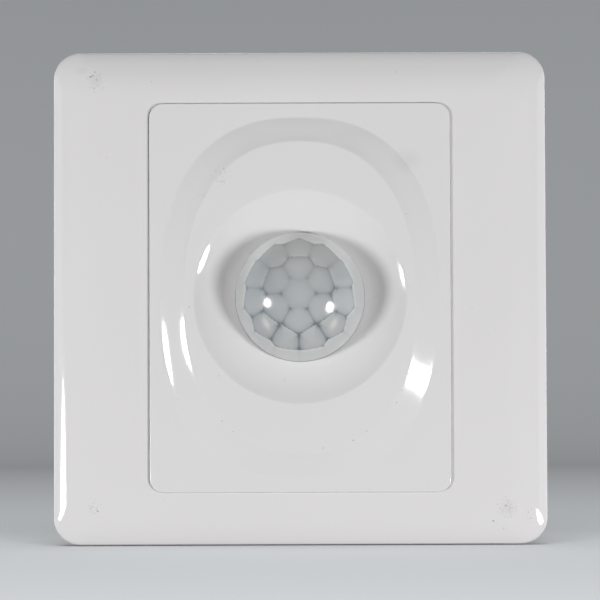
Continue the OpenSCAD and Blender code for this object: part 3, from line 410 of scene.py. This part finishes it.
def milky_polyethylene(name):
    """Milky high-density polyethylene, moulded thin, with light wandering in the wall. The lenslets behind
    it show as cool grey cells with darker joints; painted light makes the top, the sides and two low streaks
    paler, and painted shade deepens the joints and their corners."""
    material, tree, shader, place = new_surface(name, {
        "IOR": 1.53, "Roughness": 0.1, "Subsurface Weight": 1.0, "Subsurface Radius": (1.0, 1.0, 1.0),
        "Subsurface Scale": 1.2 * mm, "Subsurface Anisotropy": 0.3})
    field, joint_shade, painted_light = [add(tree, "ShaderNodeAttribute", {}, attribute_name=layer).outputs["Fac"]
                          for layer in ("lenslet_field", "lenslet_joint_shade", "lenslet_painted_light")]
    # Painted light: the cells and the plain ring go from a darker tone to a paler one where the dome is
    # painted lighter
    cells = add(tree, "ShaderNodeMixRGB", {
        "Fac": painted_light, "Color1": to_linear("#b3b9bd"), "Color2": to_linear("#e8e7e4")})
    plain = add(tree, "ShaderNodeMixRGB", {
        "Fac": painted_light, "Color1": to_linear("#bbbdbe"), "Color2": to_linear("#f8f8f6")})
    body = add(tree, "ShaderNodeMixRGB", {
        "Fac": field, "Color1": plain.outputs["Color"], "Color2": cells.outputs["Color"]})
    # One grey for the joints' own darker line and the painted shade around them
    lined = add(tree, "ShaderNodeMixRGB", {
        "Fac": joint_shade, "Color1": body.outputs["Color"], "Color2": to_linear("#858e94")})
    tree.links.new(lined.outputs["Color"], shader.inputs["Base Color"])
    ripple = add(tree, "ShaderNodeTexNoise", {"Vector": place, "Scale": per_mm(0.5), "Detail": 3.0})
    bump = add(tree, "ShaderNodeBump", {
        "Height": ripple.outputs["Fac"], "Strength": 0.6, "Distance": 0.04 * mm})
    tree.links.new(bump.outputs["Normal"], shader.inputs["Normal"])
    return material


def moulded(name, light, dark, mottle, roughness, grain, grain_depth, **constants):
    """A moulded, dipped or fired finish: two close tones in soft patches, a roughness that wanders with
    them, and a surface grain. Sizes are in millimetres."""
    material, tree, shader, place = new_surface(name, constants)
    patches = add(tree, "ShaderNodeTexNoise", {"Vector": place, "Scale": per_mm(mottle), "Detail": 4.0})
    tone = add(tree, "ShaderNodeMixRGB", {
        "Fac": patches.outputs["Fac"], "Color1": to_linear(light), "Color2": to_linear(dark)})
    tree.links.new(tone.outputs["Color"], shader.inputs["Base Color"])
    gloss = add(tree, "ShaderNodeMapRange", {
        "Value": patches.outputs["Fac"], "From Min": 0.3, "From Max": 0.7,
        "To Min": roughness - 0.05, "To Max": roughness + 0.05})
    tree.links.new(gloss.outputs["Result"], shader.inputs["Roughness"])
    skin_grain = add(tree, "ShaderNodeTexNoise", {"Vector": place, "Scale": per_mm(grain), "Detail": 3.0})
    bump = add(tree, "ShaderNodeBump", {
        "Height": skin_grain.outputs["Fac"], "Strength": 0.6, "Distance": grain_depth * mm})
    tree.links.new(bump.outputs["Normal"], shader.inputs["Normal"])
    return material


def drawn_metal(name, light, dark, roughness, painted_highlight):
    """Plated or rolled metal: fine streaks along one way, brighter and duller by turns. The streak's width
    is in millimetres."""
    material, tree, shader, place = new_surface(name, {"Metallic": 1.0})
    drawn = add(tree, "ShaderNodeMapping", {"Vector": place, "Scale": (1.0, 0.12, 1.0)})
    streaks = add(tree, "ShaderNodeTexNoise", {
        "Vector": drawn.outputs["Vector"], "Scale": per_mm(painted_highlight), "Detail": 5.0})
    tone = add(tree, "ShaderNodeMixRGB", {
        "Fac": streaks.outputs["Fac"], "Color1": to_linear(light), "Color2": to_linear(dark)})
    tree.links.new(tone.outputs["Color"], shader.inputs["Base Color"])
    gloss = add(tree, "ShaderNodeMapRange", {
        "Value": streaks.outputs["Fac"], "From Min": 0.3, "From Max": 0.7,
        "To Min": roughness - 0.08, "To Max": roughness + 0.08})
    tree.links.new(gloss.outputs["Result"], shader.inputs["Roughness"])
    bump = add(tree, "ShaderNodeBump", {
        "Height": streaks.outputs["Fac"], "Strength": 0.3, "Distance": 0.01 * mm})
    tree.links.new(bump.outputs["Normal"], shader.inputs["Normal"])
    return material


def solder_mask(name):
    """Glass laminate under green solder mask: copper shows through as paler tracks on a darker ground."""
    material, tree, shader, place = new_surface(name, {"Roughness": 0.32, "IOR": 1.52})
    nets = add(tree, "ShaderNodeTexVoronoi", {"Vector": place, "Scale": per_mm(5)}, distance="CHEBYCHEV")
    rings = add(tree, "ShaderNodeMath", {0: nets.outputs["Distance"], 1: 0.16}, operation="PINGPONG")
    tracks = add(tree, "ShaderNodeMapRange", {
        "Value": rings.outputs["Value"], "From Min": 0.085, "From Max": 0.1})
    tone = add(tree, "ShaderNodeMixRGB", {
        "Fac": tracks.outputs["Result"], "Color1": to_linear("#1f5c38"), "Color2": to_linear("#3c8653")})
    tree.links.new(tone.outputs["Color"], shader.inputs["Base Color"])
    bump = add(tree, "ShaderNodeBump", {
        "Height": tracks.outputs["Result"], "Strength": 0.5, "Distance": 0.03 * mm})
    tree.links.new(bump.outputs["Normal"], shader.inputs["Normal"])
    return material


def enamelled_wire(name):
    """Enamelled copper wound in close turns: bright and dark bands across the coil."""
    material, tree, shader, place = new_surface(name, {"Metallic": 0.9, "Roughness": 0.3})
    # One band of a wave at scale 1 is two pi twentieths of a metre wide. The bands are drawn 1.6 mm apart,
    # coarser than the 0.25 mm wire, so that they show
    turns = add(tree, "ShaderNodeTexWave", {
        "Vector": place, "Scale": per_mm(0.25) / 20, "Distortion": 0.4, "Detail": 1.0}, bands_direction="Z")
    tone = add(tree, "ShaderNodeMixRGB", {
        "Fac": turns.outputs["Fac"], "Color1": to_linear("#7d3a1c"), "Color2": to_linear("#c9743f")})
    tree.links.new(tone.outputs["Color"], shader.inputs["Base Color"])
    bump = add(tree, "ShaderNodeBump", {
        "Height": turns.outputs["Fac"], "Strength": 0.7, "Distance": 0.06 * mm})
    tree.links.new(bump.outputs["Normal"], shader.inputs["Normal"])
    return material


frame_marks = (
    ("grit", -35.3, 37.8, 1.9, 2.4, 1.0), ("smudge", -35.4, 38.0, 1.6, 1.8, 0.08),
    ("smudge", -37.9, 39.6, 1.5, 0.8, 0.06), ("speck", -36.3, 38.5, 0.3, 0.18, 0.9),
    ("speck", -35.9, 38.7, 0.24, 0.15, 0.8), ("speck", -35.2, 38.0, 0.16, 0.3, 0.5),
    ("speck", -25.7, 37.6, 0.2, 0.14, 0.4), ("speck", 17.0, 39.2, 0.2, 0.2, 0.25),
    ("grit", -35.6, -36.3, 1.3, 1.7, 0.6), ("speck", -35.1, -36.9, 0.18, 0.22, 0.7),
    ("speck", -36.4, -36.4, 0.15, 0.15, 0.45), ("grit", 35.7, -36.4, 2.1, 2.4, 0.8),
    ("smudge", 35.8, -36.6, 1.8, 2.0, 0.07), ("grit", 39.8, -37.8, 1.4, 1.8, 0.5),
    ("speck", 33.3, -38.8, 0.2, 0.2, 0.8), ("speck", 35.1, -40.1, 0.16, 0.16, 0.5),
)
panel_marks = (
    ("smudge", 18.6, 23.7, 3.2, 2.6, 0.07), ("grit", -16.6, 18.0, 2.6, 1.6, 0.35),
    ("grit", -13.5, 20.6, 2.4, 3.0, 0.25), ("speck", -13.1, 22.2, 0.17, 0.2, 0.5),
    ("speck", -12.8, 21.6, 0.15, 0.15, 0.35),
    ("speck", 18.7, -13.4, 0.26, 0.24, 0.75), ("speck", 17.5, -16.2, 0.16, 0.2, 0.5),
    ("speck", 16.6, -18.3, 0.2, 0.2, 0.55), ("speck", 11.4, -23.2, 0.18, 0.18, 0.4),
    ("speck", 9.1, -24.8, 0.22, 0.18, 0.5), ("speck", 3.9, -26.1, 0.18, 0.16, 0.4),
    ("speck", -11.6, -23.2, 0.2, 0.14, 0.4), ("speck", -13.5, -21.4, 0.24, 0.14, 0.45),
    ("speck", -14.0, -13.6, 0.2, 0.14, 0.35), ("speck", -2.7, -14.3, 0.18, 0.18, 0.3),
    ("speck", -19.1, -1.7, 0.24, 0.12, 0.5), ("speck", -21.2, -17.6, 0.16, 0.16, 0.3),
    ("speck", 18.4, 14.3, 0.16, 0.16, 0.35),
)
finishes = {
    "frame_plastic": glossy_abs("white_gloss_abs_frame", "#eeeced", "#eae8e9", frame_marks),
    "panel_plastic": glossy_abs("white_gloss_abs_panel", "#ecebec", "#e9e8e9", panel_marks),
    "lens_plastic": milky_polyethylene("milky_polyethylene"),
    "inner_plastic": moulded("satin_white_abs", "#e4e3dd", "#dcdad3", 14, 0.42, 0.5, 0.02, IOR=1.53),
    "housing_plastic": moulded("spark_textured_abs", "#e6e5df", "#dddbd4", 18, 0.5, 0.35, 0.05, IOR=1.53),
    "screw_steel": drawn_metal("zinc_plated_steel", "#c9cbcc", "#9fa2a3", 0.3, 0.25),
    "board_laminate": solder_mask("green_solder_mask"),
    "can_steel": drawn_metal("nickel_plated_steel", "#cfcabf", "#aaa598", 0.26, 0.3),
    "filter_window": moulded("infrared_filter_silicon", "#23222b", "#17161d", 3, 0.1, 0.6, 0.003, IOR=1.6),
    "black_plastic": moulded("black_epoxy_moulding", "#222224", "#17171a", 2.5, 0.45, 0.2, 0.02, IOR=1.55),
    "tinned_leads": drawn_metal("tinned_copper", "#d3d3d0", "#a5a6a6", 0.32, 0.2),
    "gold_pins": drawn_metal("gold_flashed_brass", "#dcb45f", "#b98f3f", 0.24, 0.2),
    "sensor_ceramic": moulded("resin_coated_ceramic", "#cf8f5c", "#b97643", 0.8, 0.3, 0.25, 0.02, IOR=1.5),
    "chip_parts": moulded("sintered_ceramic", "#a18a68", "#85704f", 0.7, 0.5, 0.15, 0.02, IOR=1.6),
    "film_case": moulded("yellow_polyester_case", "#d9b638", "#c9a228", 5, 0.28, 0.4, 0.01, IOR=1.5),
    "capacitor_sleeve": moulded("dark_shrink_sleeve", "#20262d", "#161a20", 4, 0.3, 0.6, 0.02, IOR=1.5),
    "varistor_coat": moulded("dipped_blue_epoxy", "#2d4c9c", "#213a7e", 2, 0.3, 0.7, 0.05, IOR=1.5),
    "fuse_ceramic": moulded("white_fuse_ceramic", "#e0d9c8", "#cdc4ae", 1.5, 0.45, 0.3, 0.02, IOR=1.6),
    "resistor_coat": moulded("blue_resistor_lacquer", "#6fa3bb", "#5889a3", 1.2, 0.35, 0.4, 0.02, IOR=1.5),
    "relay_plastic": moulded("blue_relay_nylon", "#24489b", "#1b3a84", 6, 0.33, 0.4, 0.02, IOR=1.53),
    "bobbin_plastic": moulded("natural_bobbin_nylon", "#dcd9cc", "#cfcbbb", 4, 0.42, 0.3, 0.02, IOR=1.53),
    "copper_wire": enamelled_wire("enamelled_copper"),
    "relay_iron": drawn_metal("plated_soft_iron", "#b9b8b2", "#8e8d88", 0.36, 0.3),
    "contact_brass": drawn_metal("rolled_brass", "#c9a25a", "#a17f3f", 0.3, 0.25),
    "terminal_plastic": moulded("white_terminal_nylon", "#e9e8e2", "#dddbd2", 7, 0.4, 0.3, 0.02, IOR=1.53),
    "trimmer_plastic": moulded("blue_trimmer_nylon", "#2a4c9c", "#203d82", 3, 0.36, 0.3, 0.02, IOR=1.53),
    "rotor_plastic": moulded("white_rotor_nylon", "#e6e4dc", "#d8d5ca", 2.5, 0.38, 0.25, 0.02, IOR=1.53),
}
for row in frame["record"]["subparts"]:
    dressed = frame["nodes"][row["node"]].data.materials
    dressed.clear()
    dressed.append(finishes[row["material_slot"]])


# Face frame
def crown(angle):
    """Inset and height of the crowned edge where its ellipse has turned this many degrees."""
    turn = math.radians(angle)
    end = math.radians(crown_end)
    inset = draft + crown_run * (math.sin(end) - math.sin(turn))
    return inset, frame_face - crown_drop * (1 - math.cos(turn))


def make_face_frame():
    bm = bmesh.new()

    def outside(inset, z):
        x, y = frame_w / 2 - inset, frame_h / 2 - inset
        return rounded_square(bm, -x, x, -y, y, corner_r, z)

    def window(out, z):
        x, y = panel_w / 2 + out, panel_h / 2 + out
        return rounded_square(bm, -x - seam_left, x + seam_right, -y - seam_bottom, y + seam_top,
                              window_r + out, z)

    shoulder = crown(crown_end)
    eased_end = math.degrees(math.asin(math.sin(math.radians(crown_end)) - shoulder_soft / crown_run))
    outlines = [outside(foot_soft, 0), outside(0, foot_soft)]
    side = (draft, shoulder[1] - shoulder_soft)
    outlines += [outside(*point) for point in eased(side, shoulder, crown(eased_end))]
    for step in range(1, crown_steps + 1):
        outlines.append(outside(*crown(eased_end * (1 - step / crown_steps))))
    for step in range(soft_steps + 1):
        turn = math.radians(90 * step / soft_steps)
        outlines.append(window(window_soft * (1 - math.sin(turn)),
                               frame_face - window_soft * (1 - math.cos(turn))))
    outlines += [window(0, lining_foot), window(lining_t, lining_foot), window(lining_t, frame_ceiling)]
    outlines += [outside(deep_wall, frame_ceiling), outside(deep_wall, rim_ceiling)]
    outlines += [outside(rim_wall, rim_ceiling), outside(rim_wall, 0)]
    skin(bm, outlines, closed=True)
    arm_h = frame_ceiling + rooted - clip_foot
    for side in (-1, 1):
        for end in (-1, 1):
            middle = (side * clip_x, end * clip_y, clip_foot + arm_h / 2)
            soft_block(bm, middle, (clip_w, clip_t, arm_h), clip_soft)
    keep_flats(place_drawn(bm, "face_frame_shell", "frame", "frame_plastic", "face_frame"))


# Sensor panel
def make_sensor_panel():
    bm = bmesh.new()

    def edge(inset, z):
        x, y = panel_w / 2 - inset, panel_h / 2 - inset
        return rounded_square(bm, -x, x, -y, y, panel_r, z)

    def band(inset):
        """A point across the sloping band."""
        return inset, panel_face + bevel_rise * inset / bevel_run

    outlines = [edge(0, panel_foot)]
    for step in range(soft_steps + 1):
        turn = math.radians(90 * step / soft_steps)
        outlines.append(edge(panel_soft * (1 - math.cos(turn)),
                             panel_face - panel_soft * (1 - math.sin(turn))))
    slope = eased((-bevel_soft, panel_face), (0, panel_face), band(bevel_soft))
    for step in range(1, bevel_steps):
        slope.append(band(bevel_soft + (bevel_run - 2 * bevel_soft) * step / bevel_steps))
    slope += eased(band(bevel_run - bevel_soft), (bevel_run, oval_top), (bevel_run + bevel_soft, oval_top))
    outlines += [oval_ring(bm, *point) for point in slope]
    # The dish: a rounded rim, then an arc that runs out flat on the floor around the lens
    depth = oval_top - dish_floor
    width = dish_r - dish_floor_r
    bowl_r = (width ** 2 + depth ** 2) / (2 * depth)
    rim_turn = math.asin((width - rim_soft) / bowl_r)
    rim_in = (dish_r - rim_soft, dish_floor + bowl_r * (1 - math.cos(rim_turn)))
    knee = (rim_in[0] + (oval_top - rim_in[1]) / math.tan(rim_turn), oval_top)
    outlines += [round_ring(bm, *point) for point in eased((dish_r + rim_soft, oval_top), knee, rim_in)]
    for step in range(1, 2 * soft_steps + 1):
        turn = rim_turn * (1 - step / (2 * soft_steps))
        outlines.append(round_ring(bm, dish_floor_r + bowl_r * math.sin(turn),
                                   dish_floor + bowl_r * (1 - math.cos(turn))))
    hole_edge = eased((lens_hole_r + hole_soft, dish_floor), (lens_hole_r, dish_floor),
                      (lens_hole_r, dish_floor - hole_soft))
    outlines += [round_ring(bm, *point) for point in hole_edge]
    outlines += [round_ring(bm, lens_hole_r, flange_top), round_ring(bm, pocket_r, flange_top)]
    outlines += [round_ring(bm, pocket_r, panel_ceiling), edge(panel_wall, panel_ceiling)]
    outlines += [edge(panel_wall, panel_foot)]
    skin(bm, outlines, closed=True)
    for side in (-1, 1):
        for end in (-1, 1):
            post = bmesh.ops.create_cone(bm, cap_ends=True, segments=post_steps, radius1=boss_r,
                                         radius2=boss_r, depth=panel_ceiling + rooted - panel_foot)["verts"]
            middle = (side * boss_x, end * boss_y, (panel_ceiling + rooted + panel_foot) / 2)
            bmesh.ops.translate(bm, verts=post, vec=middle)
    keep_flats(place_drawn(bm, "sensor_panel_shell", "switch_body", "panel_plastic", "sensor_panel"))


# Lens
def lenslet_directions():
    """Each lenslet's ring and where its middle points. The pattern leans a little up and left, and is drawn
    in a little sideways."""
    lean = Matrix.Rotation(math.radians(-lean_up), 3, "X")
    lean = lean @ Matrix.Rotation(math.radians(-lean_left), 3, "Y")
    lean = lean @ Matrix.Scale(drawn_in, 3, (1, 0, 0))
    found = []
    for ring, (tilt, count, offset) in enumerate(lenslet_rings):
        for index in range(count):
            turn = Matrix.Rotation(math.radians(360 * (index + offset) / count), 3, "Z")
            tip = Matrix.Rotation(math.radians(-tilt), 3, "X")
            found.append((ring, lean @ turn @ tip @ Vector((0, 0, 1))))
    return found


def make_lens():
    bm = bmesh.new()
    field = bm.verts.layers.float.new("lenslet_field")
    joint_shade = bm.verts.layers.float.new("lenslet_joint_shade")
    painted_light = bm.verts.layers.float.new("lenslet_painted_light")
    highlight_turn = Matrix.Rotation(math.radians(highlight_lean), 2)
    sites = lenslet_directions()

    def dome(radius, foot_r, rows):
        """A cap of a ball, turned from an arc that runs from its pole to its foot."""
        paper = bmesh.new()
        pole = paper.verts.new((0, 0, radius))
        bmesh.ops.spin(paper, geom=[pole], cent=(0, 0, 0), axis=(0, 1, 0), angle=math.asin(foot_r / radius),
                       steps=rows)
        bmesh.ops.spin(paper, geom=paper.verts[:] + paper.edges[:], cent=(0, 0, 0), axis=(0, 0, 1),
                       angle=math.radians(360), steps=lens_turns, use_merge=True)
        bmesh.ops.remove_doubles(paper, verts=paper.verts, dist=0.0001)
        bmesh.ops.translate(paper, verts=paper.verts, vec=(0, 0, lens_centre))
        points, edges = lay_in(bm, paper)
        return points, [edge for edge in edges if edge.is_boundary]

    def nearest(vert):
        """The direction of a point of a dome, and the three nearest lenslets as angle and ring."""
        out = (vert.co - Vector((0, 0, lens_centre))).normalized()
        return out, sorted((out.angle(site), ring) for ring, site in sites)[:3]

    bore = skirt_r - lens_wall
    flange_r = flange_w / 2
    turned = [round_ring(bm, radius, z, lens_turns) for radius, z in (
        (skirt_r, flange_top + flange_soft), (skirt_r + flange_soft, flange_top),
        (flange_r - flange_soft, flange_top), (flange_r, flange_top - flange_soft),
        (flange_r, lens_foot + flange_soft), (flange_r - flange_soft, lens_foot), (bore, lens_foot))]
    outer, outer_rim = dome(lens_r, skirt_r, lens_rows)
    for vert in outer:
        out, ((first, ring), (second, beyond), (third, _)) = nearest(vert)
        # Millimetres along the dome to the nearest joint and the nearest corner, and from -1 low to 1 high
        line = (second - first) / 2 * lens_r
        corner = (third - first) / 2 * lens_r
        height = out.y / max(math.hypot(out.x, out.y), 0.01)
        if ring == plain_ring:
            # Painted light on the plain ring: paler towards the top, less so towards the bottom, paler at
            # the sides and to the right, and a painted highlight along its inner edge
            vert[painted_light] = height ** 2 * (1.0 if height > 0 else ring_glow_low)
            vert[painted_light] += ring_glow_side * (1 - height ** 2) + ring_glow_right * out.x
            vert[painted_light] += ring_edge_highlight * math.exp(-line / ring_edge_w) * (beyond < plain_ring)
            # Painted shade: thin darker lines between the plain ring's pieces, on its lower half only
            between = beyond == plain_ring and height < 0
            vert[joint_shade] = ring_joint * math.exp(-(line / ring_joint_w) ** 2) * between
            continue
        vert[field] = 1.0 if beyond < plain_ring else min(line / field_edge_w, 1)
        # Painted light on the cells: paler high on the dome, a little paler low down and to the right,
        # darker at the sides, two painted highlight streaks low on each side, and a painted highlight where
        # second-ring cells meet the first ring
        along, across = highlight_turn @ Vector((abs(out.x) * lens_r - highlight_x, out.y * lens_r - highlight_y))
        painted_highlight = math.exp(-(along / highlight_l) ** 2 - (across / highlight_w) ** 2)
        vert[painted_light] = cell_glow + cell_glow_high * max(out.y / cell_high, 0) ** cell_glow_power
        vert[painted_light] += cell_glow_low * max(-out.y, 0) + cell_glow_right * out.x - cell_dim_side * out.x ** 2
        vert[painted_light] += highlight_glow * painted_highlight
        vert[painted_light] += cell_edge_highlight * math.exp(-line / cell_edge_w) * (ring > beyond == 1)
        # The joints show darker, and painted shade deepens them: soft on both sides of a joint, crisper
        # lower on the dome, fainter high and deeper low on the second ring, and deepest in the corners, more
        # so low down
        depth = joint_depth[ring, beyond] * (1 - joint_fade_high * height * (ring == beyond == 2))
        # From 0 in the upper third of the dome to 1 in its lower third
        lower = min(max(0.5 - 1.5 * out.y, 0), 1)
        crisp = crisp_joint_high + crisp_joint_low * lower
        crisp *= math.exp(-(line / crisp_joint_w) ** 2) * (ring > 0 and beyond > 0)
        pit = pit_low if out.y < pit_level else pit_high
        pit *= math.exp(-(corner / pit_w) ** 2) * (ring > 0)
        vert[joint_shade] = depth * (soft_joint * math.exp(-line / soft_joint_w) + crisp) + pit
    inner, inner_rim = dome(lens_r - lens_wall, bore, cavity_rows)
    for vert in inner:
        out, ((first, _), *_) = nearest(vert)
        swell = 1 - (math.degrees(first) / lenslet_reach) ** 2
        if not vert.is_boundary:
            vert.co -= out * lenslet_bulge * max(swell, 0)
    skin(bm, [outer_rim, *turned, inner_rim])
    place_drawn(bm, "lens_dome", "switch_body", "lens_plastic", "fresnel_lens")


make_face_frame()
make_sensor_panel()
make_lens()


# Rear pieces: the same solids with the eased edges of moulded and turned pieces
def ease_edges(node, body, slot, width, segments=2):
    """Shows a copy of a solid whose edges are eased over a width in millimetres."""
    bm = bmesh.new()
    bm.from_mesh(frame["nodes"][node].data)
    bmesh.ops.remove_doubles(bm, verts=bm.verts, dist=0.001 * mm)
    bmesh.ops.dissolve_limit(bm, angle_limit=math.radians(flat_turn), verts=bm.verts, edges=bm.edges)
    piece = place_piece(bm, node + "_eased", body, slot, node)
    ease = piece.modifiers.new("ease", "BEVEL")
    ease.width = width * mm
    ease.segments = segments
    ease.limit_method = "ANGLE"
    ease.angle_limit = math.radians(ease_turn)
    ease.harden_normals = True


ease_edges("rear_housing", "switch_body", "housing_plastic", 0.35, 3)
ease_edges("mounting_plate", "switch_body", "inner_plastic", 0.2)
ease_edges("terminal_block", "switch_body", "terminal_plastic", 0.15)
ease_edges("assembly_screws", "switch_body", "screw_steel", 0.12)
ease_edges("time_trimmer_rotor", "time_rotor", "rotor_plastic", 0.1)
ease_edges("light_trimmer_rotor", "light_rotor", "rotor_plastic", 0.1)
for number in (1, 2, 3):
    ease_edges(f"terminal_screw_{number}", f"screw_{number}", "screw_steel", 0.08)


# Stage: a pale floor that sweeps up into a round backdrop, which lights and reflections pass through
def make_stage():
    """Makes the floor, and returns two groups for lights: the floor alone, and all but the floor."""
    floor_r = 1.3
    sweep_r = 0.5
    wall_h = 1.5
    sweep_steps = 24
    round_steps = 96
    bm = bmesh.new()
    edge = bm.verts.new((floor_r, 0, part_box("face_frame")[0].z))
    middle = bm.verts.new((0, 0, edge.co.z))
    bm.edges.new((middle, edge))
    swept = bmesh.ops.spin(bm, geom=[edge], cent=(floor_r, 0, edge.co.z + sweep_r), axis=(0, -1, 0),
                           angle=math.radians(90), steps=sweep_steps)
    top = [part for part in swept["geom_last"] if isinstance(part, bmesh.types.BMVert)][0]
    wall = bmesh.ops.extrude_vert_indiv(bm, verts=[top])["verts"]
    bmesh.ops.translate(bm, verts=wall, vec=(0, 0, wall_h))
    bmesh.ops.spin(bm, geom=bm.verts[:] + bm.edges[:], cent=(0, 0, 0), axis=(0, 0, 1),
                   angle=math.radians(360), steps=round_steps, use_merge=True)
    bmesh.ops.remove_doubles(bm, verts=bm.verts, dist=0.01 * mm)
    mesh = bpy.data.meshes.new("stage_floor")
    bm.to_mesh(mesh)
    bm.free()
    mesh.shade_smooth()
    material, tree, shader, place = new_surface("painted_paper", {"Roughness": 0.9})
    cloud = add(tree, "ShaderNodeTexNoise", {"Vector": place, "Scale": per_mm(300), "Detail": 2.0})
    tone = add(tree, "ShaderNodeMixRGB", {
        "Fac": cloud.outputs["Fac"], "Color1": to_linear("#b9bcbe"), "Color2": to_linear("#b6b9bb")})
    tree.links.new(tone.outputs["Color"], shader.inputs["Base Color"])
    mesh.materials.append(material)
    floor = bpy.data.objects.new("stage_floor", mesh)
    group = bpy.data.collections.new("stage")
    scene.collection.children.link(group)
    group.objects.link(floor)
    floor.visible_shadow = False
    floor.visible_diffuse = False
    floor.visible_glossy = False
    floor.visible_transmission = False
    others = bpy.data.collections.new("all_but_stage")
    others.objects.link(floor)
    others.collection_objects[0].light_linking.link_state = "EXCLUDE"
    return group, others


stage_group, part_group = make_stage()


# Lights
def softbox(name, side, rise, distance, size, power, lit=part_group):
    """A softbox aimed at the part: degrees to the right of the front, degrees up, metres away, width and
    height in metres, watts, and the group that it lights."""
    light = bpy.data.lights.new(name, "AREA")
    light.shape = "ELLIPSE"
    light.size, light.size_y = size
    light.energy = power
    lamp = bpy.data.objects.new(name, light)
    scene.collection.objects.link(lamp)
    around, up = math.radians(side), math.radians(rise)
    away = Vector((math.sin(around) * math.cos(up), -math.cos(around) * math.cos(up), math.sin(up)))
    lamp.location = away * distance
    lamp.rotation_euler = away.to_track_quat("Z", "Y").to_euler()
    lamp.visible_camera = False
    lamp.light_linking.receiver_collection = lit


softbox("key_left", -54.4, -7.4, 0.6, (0.11, 0.14), 2.04)
softbox("key_right", 51.3, -15.0, 0.6, (0.13, 0.15), 2.18)
softbox("top_fill", 0, 70, 0.9, (0.8, 0.8), 0.8)
softbox("side_fill_left", -80, 0, 0.9, (0.8, 0.8), 1.5)
softbox("side_fill_right", 80, 0, 0.9, (0.8, 0.8), 1.6)
softbox("rear_top", 180, 42, 0.9, (0.8, 0.8), 3.4)
softbox("rear_left", -152, 4, 0.9, (0.8, 0.8), 2.9)
softbox("rear_right", 152, 4, 0.9, (0.8, 0.8), 2.9)
softbox("floor_light", 0, 89, 3.0, (2.4, 2.4), 55.0, stage_group)
softbox("backdrop_light", 0, 20, 1.0, (1.2, 1.2), 18.0, stage_group)

world = bpy.data.worlds.new("studio")
world.use_nodes = True
world.node_tree.nodes["Background"].inputs["Color"].default_value = to_linear("#d9dde0")
world.node_tree.nodes["Background"].inputs["Strength"].default_value = 0.085
scene.world = world

# Camera, a little below the middle as in the photograph, with the plate 493 of 600 pixels wide
camera_away = 0.55
camera_below = math.radians(2.4)
camera_roll = math.radians(0.2)
picture_side = 600
plate_pixels = 493.4
aim = Vector((-0.08, -4.8, -0.34)) * mm
data = bpy.data.cameras.new("camera")
data.sensor_width = 36
data.lens = data.sensor_width * camera_away * plate_pixels / (frame_w * mm * picture_side)
camera = bpy.data.objects.new("camera", data)
camera.location = aim - camera_away * Vector((0, math.cos(camera_below), math.sin(camera_below)))
camera.rotation_euler = (math.radians(90) + camera_below, camera_roll, 0)
scene.collection.objects.link(camera)
scene.camera = camera
scene.view_settings.view_transform = "Standard"
